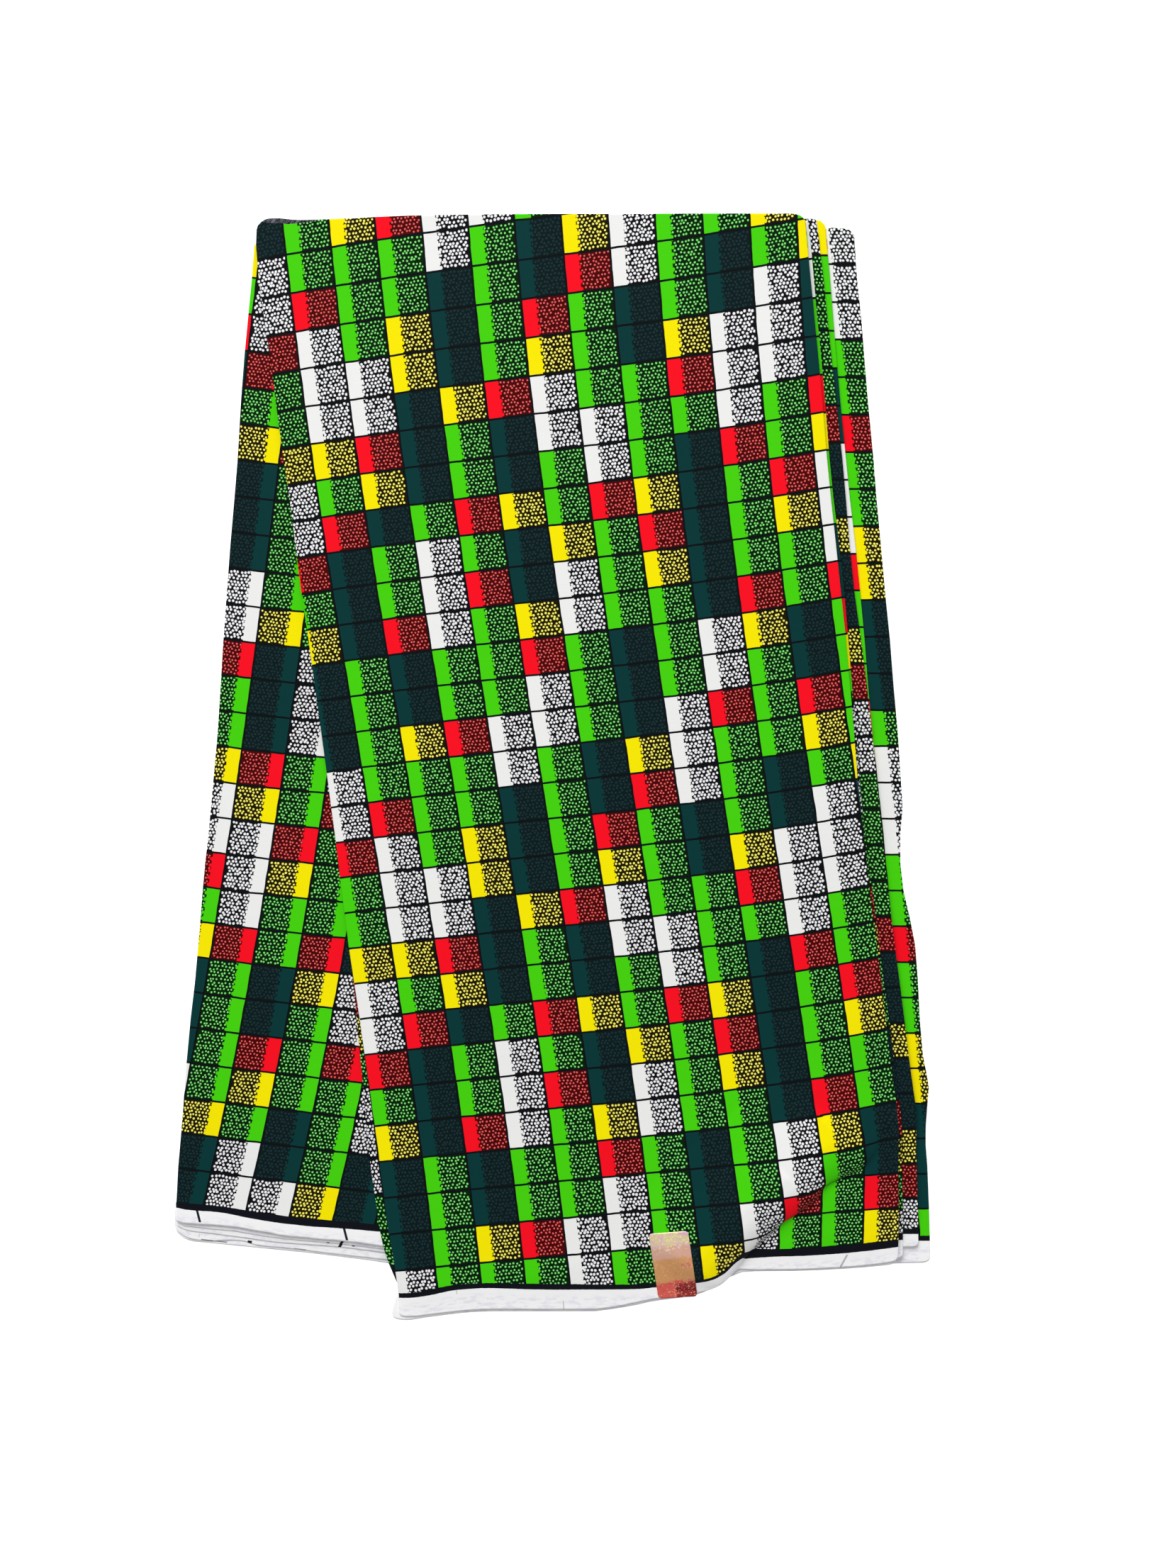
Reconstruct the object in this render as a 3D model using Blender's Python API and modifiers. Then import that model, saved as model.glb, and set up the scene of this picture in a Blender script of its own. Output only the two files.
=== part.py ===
"""A length of wax-print cotton, doubled across its width and folded back and forth into a packet, lying flat.

Metres. +Z up, +Y towards the folded top edge, origin under the middle of the packet. The selvedges lie along the foot.
"""

import math

import bpy
from mathutils import Vector
from mathutils.geometry import delaunay_2d_cdt

MM = 0.001
WALL = 1.2  # one stretch of cloth, mm
GAP = 0.3  # air between two stretches
STEP = WALL + GAP
STACK_TOP = 5.6  # the hidden layers under the fans
LEDGE = 2.6  # where the lowest selvedges at the left rest
TUCK_LEFT = 26.0  # how far the left stretch runs on under the front
TUCK_RIGHT = 24.0
CORE_DOWN = 0.25  # the core's top is one flat facet or nearly, so it stays clear of the stretch on it
EDGE_ROUND = 0.5
SPACING = 18.0

# Cross-sections from the top to the foot, mm.
COLUMNS = "y left_fold cut_edge front_fold inner_fold middle_fold lower_fold outer_fold".split()
SECTIONS = [
    (278, -155.9, -153.0, 134.7, 135.6, 141.0, 144.6, 159.4),
    (240, -159.4, -149.5, 138.9, 140.2, 145.2, 148.6, 162.3),
    (200, -163.4, -145.1, 143.2, 144.8, 149.3, 152.7, 166.8),
    (150, -168.0, -138.6, 147.4, 149.0, 154.9, 157.4, 171.4),
    (100, -172.7, -132.5, 153.1, 154.6, 159.8, 162.1, 177.0),
    (50, -176.7, -126.4, 158.1, 159.3, 167.2, 168.2, 181.9),
    (0, -181.5, -120.5, 163.0, 164.0, 172.3, 171.5, 187.2),
    (-20, -183.9, -117.8, 165.0, 166.2, 174.7, 173.6, 186.6),
    (-50, -187.0, -114.4, 168.9, 170.0, 178.2, 176.9, 187.0),
    (-75, -190.0, -111.3, 172.6, 174.0, 181.6, 180.1, 192.6),
    (-100, -192.2, -108.4, 176.4, 178.0, 185.2, 183.6, 196.2),
    (-150, -198.4, -103.0, 182.9, 184.8, 192.2, 190.6, 199.4),
    (-170, -200.9, -99.7, 185.8, 187.8, 195.0, 193.4, 204.2),
    (-200, -203.8, -95.9, 188.1, 190.2, 198.0, 196.4, 204.4),
    (-236, -206.4, -91.4, 189.4, 191.4, 198.9, 197.3, 205.0),
    (-262, -204.9, -87.5, 189.8, 191.8, 199.0, 197.4, 206.5),
    (-283, -204.0, -84.9, 189.9, 191.9, 199.1, 197.4, 206.6),
]

# The diagonal ripple at the lower right of the front: its foot line, and the height of its crest there.
RIPPLE = [  # x, y, height
    (196.0, -191.5, 1.6),
    (187.0, -196.6, 2.6),
    (169.5, -206.4, 4.6),
    (147.3, -220.2, 6.2),
    (125.6, -240.6, 6.6),
    (109.5, -254.8, 6.0),
    (101.4, -263.5, 5.4),
    (93.0, -274.0, 4.8),
]
RIPPLE_SECTION = [  # distance from the foot line, share of the height
    (-3.0, 0.0),
    (0.0, 0.28),
    (2.2, 0.60),
    (4.8, 0.88),
    (8.5, 1.0),
    (15.0, 0.90),
    (26.0, 0.58),
    (39.0, 0.24),
    (56.0, 0.0),
]

STACK_LAYER = [  # share of one layer's height, how far in from the outline, mm
    (0.0, 1.5),
    (0.17, 0.6),
    (0.5, 0.2),
    (0.83, 0.6),
]
STACK_LAYERS = 3


def at(column, y):
    k = COLUMNS.index(column)
    rows = SECTIONS
    if y >= rows[0][0]:
        return rows[0][k] + (y - rows[0][0]) * (rows[1][k] - rows[0][k]) / (
            rows[1][0] - rows[0][0]
        )
    for a, b in zip(rows, rows[1:]):
        if y >= b[0]:
            s = (a[0] - y) / (a[0] - b[0])
            return a[k] + s * (b[k] - a[k])
    return rows[-1][k]


def down(column, top, foot, shift=0.0):
    """Points of a fold or an edge from top to foot, at the rows of the table and between them."""
    marks = [top] + [r[0] for r in SECTIONS if foot + 6 < r[0] < top - 6] + [foot]
    ys = [top]
    for a, b in zip(marks, marks[1:]):
        n = max(1, round((a - b) / SPACING))
        ys += [a + (b - a) * i / n for i in range(1, n + 1)]
    return [(at(column, y) + shift, y) for y in ys]


def along(points, spacing=SPACING):
    """The same polyline with no piece longer than spacing."""
    out = [points[0]]
    for a, b in zip(points, points[1:]):
        n = max(1, round(math.dist(a, b) / spacing))
        out += [
            (a[0] + (b[0] - a[0]) * i / n, a[1] + (b[1] - a[1]) * i / n)
            for i in range(1, n + 1)
        ]
    return out


def closed(*runs):
    out = []
    for run in runs:
        for p in run:
            if not out or math.dist(out[-1], p) > 1.0:
                out.append(p)
    while math.dist(out[0], out[-1]) <= 1.0:
        out.pop()
    return out


def inside(p, ring):
    hit = False
    for a, b in zip(ring, ring[1:] + ring[:1]):
        if (a[1] > p[1]) != (b[1] > p[1]):
            if p[0] < (b[0] - a[0]) * (p[1] - a[1]) / (b[1] - a[1]) + a[0]:
                hit = not hit
    return hit


def off_edge(p, ring):
    best = 1e9
    for a, b in zip(ring, ring[1:] + ring[:1]):
        dx, dy = b[0] - a[0], b[1] - a[1]
        s = ((p[0] - a[0]) * dx + (p[1] - a[1]) * dy) / (dx * dx + dy * dy)
        s = min(1.0, max(0.0, s))
        best = min(best, math.dist(p, (a[0] + s * dx, a[1] + s * dy)))
    return best


def table(rows, value):
    if value <= rows[0][0]:
        return rows[0][1]
    for a, b in zip(rows, rows[1:]):
        if value <= b[0]:
            return a[1] + (b[1] - a[1]) * (value - a[0]) / (b[0] - a[0])
    return rows[-1][1]


def ripple(x, y):
    """Height of the diagonal ripple above the stretch."""
    best = None
    for a, b in zip(RIPPLE, RIPPLE[1:]):
        dx, dy = b[0] - a[0], b[1] - a[1]
        s = ((x - a[0]) * dx + (y - a[1]) * dy) / (dx * dx + dy * dy)
        s = min(1.0, max(0.0, s))
        px, py = a[0] + s * dx, a[1] + s * dy
        far = math.dist((x, y), (px, py))
        if best is None or far < best[0]:
            side = dx * (y - a[1]) - dy * (x - a[0])
            best = (far, -far if side > 0 else far, a[2] + s * (b[2] - a[2]))
    return best[2] * table(RIPPLE_SECTION, best[1])


def under_front(x, y):
    """Underside of the doubled stretch below the front: it climbs over the folds at the right."""
    left = at("cut_edge", y) + TUCK_LEFT
    right = at("front_fold", y) - TUCK_RIGHT
    low = STACK_TOP + GAP + STEP
    return low + 3 * STEP * min(1.0, max(0.0, (x - left) / (right - left)))


def front_floor(x, y):
    return under_front(x, y) + STEP + ripple(x, y)


def material(name, colour, rough, metal=0.0):
    m = bpy.data.materials.new(name)
    m.use_nodes = True
    p = m.node_tree.nodes["Principled BSDF"]
    p.inputs["Base Color"].default_value = (*colour, 1)
    p.inputs["Roughness"].default_value = rough
    p.inputs["Metallic"].default_value = metal
    m.diffuse_color = (*colour, 1)
    return m


def add(name, verts, faces, colour, rough=0.8, metal=0.0):
    mesh = bpy.data.meshes.new(name)
    mesh.from_pydata([tuple(c * MM for c in v) for v in verts], [], faces)
    mesh.validate()
    mesh.update()
    mesh.materials.append(material(name + "_surface", colour, rough, metal))
    ob = bpy.data.objects.new(name, mesh)
    HOME.objects.link(ob)
    return ob


def cloth(name, ring, floor, colour, lines=(), cell=24.0, thick=WALL, rough=0.8,
          metal=0.0, edge=EDGE_ROUND):
    """A wall over the outline ring, its underside at floor(x, y): an open surface made solid, its edges rounded."""
    points = [Vector(p) for p in ring]
    edges = [(i, (i + 1) % len(ring)) for i in range(len(ring))]
    kept = []
    for line in lines:
        last = None
        for p in line:
            if inside(p, ring) and off_edge(p, ring) > 2.5:
                kept.append(p)
                points.append(Vector(p))
                if last is not None:
                    edges.append((last, len(points) - 1))
                last = len(points) - 1
            else:
                last = None
    xs, ys = [p[0] for p in ring], [p[1] for p in ring]
    row = 0
    y = min(ys) + cell * 0.5
    while y < max(ys):
        x = min(xs) + cell * (0.25 if row % 2 else 0.75)
        while x < max(xs):
            p = (x, y)
            if (
                inside(p, ring)
                and off_edge(p, ring) > cell * 0.45
                and all(math.dist(p, q) > 9 for q in kept)
            ):
                points.append(Vector(p))
            x += cell
        y += cell * 0.9
        row += 1
    done = delaunay_2d_cdt(points, edges, [], 1, 1e-4)
    verts = [(p.x, p.y, floor(p.x, p.y)) for p in done[0]]
    faces = []
    for f in done[2]:
        a, b, c = (verts[i] for i in f)
        turn = (b[0] - a[0]) * (c[1] - a[1]) - (b[1] - a[1]) * (c[0] - a[0])
        faces.append(tuple(f) if turn > 0 else tuple(reversed(f)))
    ob = add(name, verts, faces, colour, rough, metal)
    solid = ob.modifiers.new("wall", "SOLIDIFY")
    solid.thickness = thick * MM
    solid.offset = 1.0
    solid.use_even_offset = True
    bevel = ob.modifiers.new("rounded_edges", "BEVEL")
    bevel.width = edge * MM
    bevel.segments = 2
    bevel.limit_method = "ANGLE"
    bevel.angle_limit = math.radians(62)
    return ob


def inset(ring, by):
    out = []
    n = len(ring)
    for i in range(n):
        a, b, c = ring[i - 1], ring[i], ring[(i + 1) % n]
        u = Vector((b[0] - a[0], b[1] - a[1])).normalized()
        v = Vector((c[0] - b[0], c[1] - b[1])).normalized()
        nu, nv = Vector((-u.y, u.x)), Vector((-v.y, v.x))
        m = (nu + nv).normalized()
        m /= max(0.5, m.dot(nu))
        out.append((b[0] + m.x * by, b[1] + m.y * by))
    return out


def prism(name, ring, low, high):
    """A straight solid over ring, its top at high(x, y)."""
    n = len(ring)
    verts = [(x, y, low) for x, y in ring] + [(x, y, high(x, y)) for x, y in ring]
    faces = [tuple(range(n - 1, -1, -1)), tuple(range(n, 2 * n))]
    faces += [(i, (i + 1) % n, (i + 1) % n + n, i + n) for i in range(n)]
    return add(name, verts, faces, (0.6, 0.6, 0.6))


def helper(ob):
    ob.hide_render = True
    ob.display_type = "WIRE"
    return ob


for ob in list(bpy.data.objects):
    bpy.data.objects.remove(ob, do_unlink=True)
HOME = bpy.data.collections.new("ankara_fabric")
bpy.context.scene.collection.children.link(HOME)

# Outlines, each anticlockwise: the left side down, the foot, the right side up, the top.
left_foot = [(-203.6, -241.6), (-180.0, -244.4), (-140.0, -247.4), (-94.0, -250.7), (-66.5, -252.6)]
left_ring = closed(
    [(-127.4, 286.5), (-147.0, 287.0), (-153.0, 284.4)],
    down("left_fold", 278, -237),
    along(left_foot),
    list(reversed(down("cut_edge", 276, -240, TUCK_LEFT))),
)

front_top = [(131.6, 292.4), (126.1, 294.5), (82.0, 295.2), (8.0, 295.2), (-58.0, 294.5),
             (-113.5, 292.6), (-143.0, 292.7), (-149.0, 291.4), (-152.4, 287.8)]
front_foot = [(-84.6, -288.4), (-81.0, -292.0), (-70.0, -292.4), (-53.2, -290.4), (-24.9, -288.8),
              (9.1, -289.2), (32.0, -288.0), (54.4, -284.2), (79.1, -280.5), (91.9, -273.8),
              (101.5, -266.4), (123.5, -266.4), (156.3, -265.6), (188.4, -263.6)]
front_ring = closed(
    down("cut_edge", 282, -284),
    along(front_foot),
    list(reversed(down("front_fold", 287, -259))),
    along(front_top),
)

under_foot = [(-88.0, -290.5), (-86.3, -293.6), (-81.5, -295.2), (-69.9, -294.4), (-53.2, -292.1),
              (-24.9, -290.5), (9.1, -290.9), (32.0, -289.7), (54.4, -285.7), (79.1, -282.1),
              (91.9, -275.4), (101.5, -267.9), (123.5, -267.9), (156.3, -267.1), (187.0, -265.1)]
under_left = along([(-147.0, 282.0), (-140.5, 180.0), (-128.0, 80.0), (-118.5, 0.0), (-112.0, -60.0),
                    (-110.4, -83.0), (-105.3, -145.0), (-99.9, -207.0), (-95.8, -228.7),
                    (-91.8, -247.6), (-88.6, -264.0)])
under_ring = closed(
    under_left,
    along(under_foot),
    list(reversed(down("front_fold", 284, -259, -0.8))),
    along([(124.0, 292.8), (82.0, 293.6), (8.0, 293.6), (-58.0, 292.9), (-113.5, 291.0), (-142.0, 290.0)]),
)

right_top = {
    "inner_fold": [(134.6, 291.0), (130.0, 292.6), (112.0, 292.6)],
    "middle_fold": [(139.4, 291.0), (136.0, 292.2), (112.0, 291.9)],
    "lower_fold": [(143.0, 290.2), (139.6, 291.4), (112.0, 290.4)],
    "outer_fold": [(158.2, 287.2), (155.0, 288.8), (138.0, 289.0), (112.0, 289.0)],
}
right_foot = {
    "inner_fold": [(165.9, -262.3), (178.0, -262.6), (191.0, -262.0)],
    "middle_fold": [(165.9, -255.0), (182.0, -254.6), (198.4, -254.0)],
    "lower_fold": [(165.9, -256.6), (182.0, -256.2), (196.8, -255.6)],
    "outer_fold": [(165.9, -265.2), (186.0, -265.0), (205.8, -264.3)],
}


def right_ring(fold):
    foot = right_foot[fold]
    return closed(
        down("front_fold", 285, -252, -TUCK_RIGHT),
        along(foot),
        list(reversed(down(fold, 283, foot[-1][1] + 5))),
        right_top[fold],
    )


# The hidden layers: one solid with a flat underside, its sides rounded layer by layer.
stack_ring = closed(
    [(-146.0, 289.4), (-151.4, 286.6)],
    down("left_fold", 276, -240, 1.1),
    along([(-203.8, -245.4), (-200.4, -251.9), (-178.5, -254.7), (-151.8, -257.1), (-107.3, -262.3),
           (-92.2, -264.6), (-88.0, -268.4), (-86.2, -284.0), (-82.4, -291.6), (-54.0, -289.0),
           (-20.0, -287.4), (32.0, -286.5), (54.0, -282.8), (78.0, -279.3), (91.0, -272.6),
           (102.0, -265.3), (188.0, -262.6), (204.4, -261.4)]),
    list(reversed(down("outer_fold", 278, -256, -1.1))),
    along([(154.6, 286.4), (136.0, 288.2), (118.0, 290.6), (0.0, 291.2), (-90.0, 290.6)]),
)
verts, rings = [], []
for layer in range(STACK_LAYERS):
    for share, into in STACK_LAYER:
        z = (layer + share) * STACK_TOP / STACK_LAYERS
        rings.append((z, into))
rings.append((STACK_TOP, STACK_LAYER[0][1]))
n = len(stack_ring)
for z, into in rings:
    verts += [(x, y, z) for x, y in inset(stack_ring, into)]
faces = [tuple(range(n - 1, -1, -1)), tuple(range((len(rings) - 1) * n, len(rings) * n))]
for k in range(len(rings) - 1):
    faces += [
        (k * n + i, k * n + (i + 1) % n, (k + 1) * n + (i + 1) % n, (k + 1) * n + i)
        for i in range(n)
    ]
stack = add("hidden_stack", verts, faces, (0.78, 0.78, 0.76))

core_ring = closed(
    down("cut_edge", 276, -236, TUCK_LEFT + 1.2),
    [(-62.0, -260.0), (-58.0, -284.0), (30.0, -283.4), (54.0, -280.4), (76.0, -277.6), (90.0, -270.8), (102.0, -262.6), (164.9, -261.0)],
    list(reversed(down("front_fold", 280, -244, -TUCK_RIGHT - 1.2))),
    along([(107.0, 290.0), (0.0, 290.4), (-123.0, 288.6)]),
)
core = helper(prism("core_form", core_ring, 2.0, lambda x, y: under_front(x, y) - GAP - CORE_DOWN))
ledge_ring = [(-214.0, -276.0), (-92.0, -276.0), (-91.0, -266.2), (-69.7, -262.0), (-69.7, -214.7), (-214.0, -214.7)]
ledge = helper(prism("ledge_form", ledge_ring, LEDGE, lambda x, y: 8.0))
for form, how in ((core, "UNION"), (ledge, "DIFFERENCE")):
    cut = stack.modifiers.new(form.name, "BOOLEAN")
    cut.object = form
    cut.operation = how
    cut.solver = "EXACT"

low = STACK_TOP + GAP
cloth("left_stretch", left_ring, lambda x, y: low, (0.16, 0.55, 0.14), cell=26)
for name, floor_z, drop in (
    ("left_selvedge_upper", LEDGE + GAP + STEP, 3.6),
    ("left_selvedge_lower", LEDGE + GAP, 7.2),
):
    foot = [(x, y - drop - 0.02 * drop * (x + 203)/ 10) for x, y in left_foot[:-1]]
    ring = closed(
        along([(-202.6, -215.4), (-203.6, -226.0), (-203.4, -236.0)]),
        along(foot),
        along([(-88.0, -248.0), (-72.0, -246.0), (-70.4, -215.4)]),
        along([(-110.0, -215.4), (-180.0, -215.4)]),
    )
    cloth(name, ring, lambda x, y, z=floor_z: z, (0.86, 0.86, 0.84), cell=30)

cloth("right_stretch_outer", right_ring("outer_fold"), lambda x, y: low, (0.8, 0.8, 0.78), cell=30)
cloth("right_stretch_lower", right_ring("lower_fold"), lambda x, y: low + STEP, (0.7, 0.7, 0.3), cell=30)
cloth("right_stretch_middle", right_ring("middle_fold"), lambda x, y: low + 2 * STEP, (0.75, 0.12, 0.12), cell=30)
cloth("right_stretch_inner", right_ring("inner_fold"), lambda x, y: low + 3 * STEP, (0.85, 0.8, 0.15), cell=30)
cloth("front_under_stretch", under_ring, under_front, (0.84, 0.84, 0.82), cell=34)

ripple_lines = []
for far, share in RIPPLE_SECTION:
    line = []
    pts = along([p[:2] for p in RIPPLE], 11 if far < 20 else 16)
    for i, p in enumerate(pts):
        a, b = pts[max(0, i - 1)], pts[min(len(pts) - 1, i + 1)]
        u = Vector((b[0] - a[0], b[1] - a[1])).normalized()
        line.append((p[0] + u.y * far, p[1] - u.x * far))
    ripple_lines.append(line)
cloth("front_stretch", front_ring, front_floor, (0.1, 0.5, 0.12), lines=ripple_lines, cell=25)

# The small foil label, laid on the front across its selvedge.
LABEL = {"x": 65.2, "y": -264.6, "width": 21.0, "height": 35.0, "turn": 8.0, "corner": 1.6, "thick": 0.6}
c, s = math.cos(math.radians(LABEL["turn"])), math.sin(math.radians(LABEL["turn"]))
hw, hh, r = LABEL["width"] / 2, LABEL["height"] / 2, LABEL["corner"]
corners = []
for cx, cy, start in ((-hw + r, hh - r, 90), (-hw + r, -hh + r, 180), (hw - r, -hh + r, 270), (hw - r, hh - r, 0)):
    for k in range(3):
        a = math.radians(start + 45 * k)
        corners.append((cx + r * math.cos(a), cy + r * math.sin(a)))
label_ring = along([(LABEL["x"] + c * x - s * y, LABEL["y"] + s * x + c * y) for x, y in corners], 6)
cloth("foil_label", label_ring, lambda x, y: front_floor(x, y) + WALL + GAP, (0.85, 0.5, 0.45),
      cell=8, thick=LABEL["thick"], rough=0.3, metal=0.6, edge=0.15)
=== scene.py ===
"""Looks for the folded length of wax-print cotton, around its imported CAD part.

Lengths in the tables are mm, in the part's own frame: +Y towards the folded top edge, +Z up.
"""

import math

import bpy
import numpy as np
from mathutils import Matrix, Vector, noise


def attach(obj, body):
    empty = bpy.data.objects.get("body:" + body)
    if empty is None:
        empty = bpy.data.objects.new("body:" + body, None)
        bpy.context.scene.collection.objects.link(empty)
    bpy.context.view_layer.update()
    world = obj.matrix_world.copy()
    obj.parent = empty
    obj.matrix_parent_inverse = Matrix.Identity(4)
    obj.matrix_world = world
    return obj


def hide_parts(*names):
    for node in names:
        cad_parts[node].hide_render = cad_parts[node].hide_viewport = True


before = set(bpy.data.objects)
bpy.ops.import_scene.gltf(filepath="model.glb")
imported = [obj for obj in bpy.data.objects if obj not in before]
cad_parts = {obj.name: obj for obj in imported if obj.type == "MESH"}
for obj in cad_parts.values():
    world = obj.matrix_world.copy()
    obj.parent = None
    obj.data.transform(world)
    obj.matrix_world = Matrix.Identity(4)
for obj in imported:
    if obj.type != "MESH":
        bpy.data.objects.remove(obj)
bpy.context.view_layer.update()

MM = 0.001
PITCH_X = 24.1  # one block of the print across, mm
PITCH_Y = 19.4  # and along
CLOTH = 0.36  # thickness of one layer
BEND = 0.56  # radius of a pressed fold
WALL = 1.2  # one stretch of the CAD part
STEP = 1.5
STACK_TOP = 5.6
LEDGE = 2.6
TUCK_LEFT = 26.0
TUCK_RIGHT = 24.0

# Cross-sections from the top to the foot.
COLUMNS = "y left_fold cut_edge front_fold inner_fold middle_fold lower_fold outer_fold".split()
SECTIONS = np.array([
    (290, -155.2, -155.3, 132.1, 133.9, 138.8, 143.3, 158.4),
    (278, -156.5, -154.6, 133.4, 135.7, 140.5, 144.6, 159.3),
    (264, -157.9, -153.6, 134.9, 137.1, 142.4, 146.1, 160.6),
    (250, -159.5, -151.9, 136.5, 138.4, 143.9, 147.4, 162.3),
    (240, -160.6, -150.6, 137.5, 139.5, 145.1, 148.3, 163.4),
    (225, -162.3, -148.4, 139.2, 141.2, 146.8, 149.7, 164.7),
    (200, -164.6, -145.6, 141.9, 143.7, 149.8, 152.2, 167.1),
    (170, -166.8, -141.9, 144.6, 146.4, 153.4, 155.6, 170.4),
    (150, -168.8, -139.0, 146.8, 148.6, 155.4, 157.8, 172.2),
    (125, -171.4, -136.2, 149.8, 152.0, 157.7, 161.1, 174.9),
    (100, -173.7, -133.4, 152.7, 154.9, 160.6, 163.9, 177.5),
    (75, -175.9, -129.9, 155.7, 157.4, 164.4, 166.6, 180.4),
    (50, -177.8, -126.8, 158.2, 159.7, 167.9, 168.8, 182.7),
    (25, -179.8, -123.6, 160.6, 162.3, 171.0, 171.4, 185.3),
    (0, -182.5, -120.5, 162.8, 164.4, 173.8, 174.0, 187.3),
    (-15, -184.1, -118.8, 164.5, 165.9, 175.5, 175.6, 188.5),
    (-30, -185.7, -116.9, 166.4, 167.9, 177.1, 177.1, 187.4),
    (-45, -187.7, -115.3, 168.2, 169.7, 178.8, 178.7, 187.6),
    (-60, -189.3, -113.7, 170.1, 171.9, 180.7, 180.5, 189.5),
    (-75, -190.7, -111.9, 172.0, 174.0, 182.7, 182.4, 193.2),
    (-90, -192.2, -110.2, 174.2, 176.0, 184.7, 184.4, 196.3),
    (-110, -194.3, -107.4, 177.0, 179.0, 187.6, 187.1, 198.1),
    (-130, -197.0, -104.6, 179.5, 181.9, 190.4, 189.9, 199.3),
    (-150, -199.2, -102.3, 182.1, 184.5, 193.0, 192.4, 201.3),
    (-160, -200.4, -101.1, 183.4, 185.6, 194.5, 193.8, 203.4),
    (-168, -201.1, -100.1, 184.6, 186.9, 195.7, 195.0, 204.9),
    (-178, -201.8, -98.9, 186.2, 188.5, 197.3, 196.5, 204.2),
    (-190, -203.0, -97.6, 187.3, 189.6, 197.7, 196.9, 203.5),
    (-200, -204.0, -96.6, 187.3, 189.5, 197.7, 196.8, 203.6),
    (-212, -205.3, -95.1, 187.4, 189.9, 198.2, 197.2, 204.7),
    (-236, -206.9, -92.0, 188.0, 191.0, 199.5, 198.3, 206.0),
    (-262, -207.2, -87.6, 188.0, 191.3, 200.3, 198.8, 207.1),
    (-283, -207.2, -84.8, 188.0, 191.3, 200.3, 198.8, 207.1),
])

FRONT_TOP = [
    (-154.8, 280.9), (-154.5, 288.2), (-154.3, 289.8), (-153.6, 291.1), (-152.4, 292.3), (-150.6, 293.5),
    (-149.1, 294.1), (-147.6, 294.4), (-143.9, 294.5), (-140.2, 294.3), (-136.5, 293.7), (-132.8, 293.5),
    (-128.3, 293.5), (-123.5, 293.7), (-117.9, 293.8), (-110.5, 294.1), (-103.1, 294.2), (-95.6, 294.7),
    (-88.2, 295.0), (-80.8, 295.3), (-73.3, 295.5), (-65.9, 295.6), (-51.1, 295.8), (-28.9, 295.9),
    (0.7, 295.9), (45.0, 295.7), (81.9, 295.7), (118.7, 295.5), (126.1, 295.4), (129.0, 294.7), (130.9, 293.4),
    (132.0, 291.3), (132.5, 288.7),
]
FRONT_FOOT = [
    (-85.4, -285.8), (-85.6, -290.6), (-85.0, -293.4), (-83.6, -295.0), (-81.0, -295.7), (-75.2, -295.3),
    (-70.5, -294.6), (-62.7, -293.6), (-54.9, -292.6), (-47.1, -291.7), (-39.3, -291.2), (-31.5, -291.0),
    (-8.1, -290.9), (23.1, -290.6), (30.9, -289.6), (38.6, -288.2), (46.4, -286.4), (54.2, -284.6),
    (61.9, -283.6), (77.4, -281.4), (85.2, -278.2), (92.9, -273.1), (97.0, -269.6), (101.5, -267.7),
    (112.0, -267.7), (131.5, -267.4), (147.0, -266.7), (162.4, -265.6), (173.4, -264.6), (177.6, -264.0),
    (184.5, -263.0), (187.0, -261.8), (188.0, -259.8),
]
UNDER_FOOT = [
    (-88.9, -294.0), (-88.6, -295.4), (-88.0, -296.4), (-86.3, -297.4), (-83.8, -297.7), (-79.9, -297.7),
    (-75.2, -297.2), (-70.5, -296.2), (-62.7, -295.2), (-54.9, -294.1), (-47.1, -293.2), (-39.3, -292.7),
    (-31.5, -292.5), (-8.1, -292.3), (23.1, -292.0), (30.9, -290.9), (38.6, -289.6), (46.4, -288.1),
    (54.2, -286.1), (61.9, -285.0), (77.4, -283.0), (85.2, -279.6), (92.9, -274.4), (100.6, -269.6),
    (108.3, -268.9), (131.5, -268.5), (147.0, -267.8), (162.4, -266.8), (177.9, -265.5), (184.5, -264.6),
    (186.6, -263.4), (187.4, -261.4),
]
UNDER_LEFT = [
    (-147.0, 282.0), (-140.5, 180.0), (-128.0, 80.0), (-118.5, 0.0), (-112.0, -60.0), (-110.4, -83.0),
    (-108.0, -112.0), (-105.3, -145.0), (-102.4, -180.0), (-100.6, -204.0), (-98.6, -221.0), (-97.3, -230.1),
    (-95.8, -243.0), (-94.4, -250.7), (-93.0, -257.4), (-91.6, -263.2), (-90.2, -266.2), (-87.4, -269.0),
    (-86.3, -273.0), (-85.5, -279.0), (-85.4, -283.4), (-86.8, -285.4), (-87.6, -288.2), (-88.4, -291.4),
    (-88.9, -294.2),
]

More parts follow.
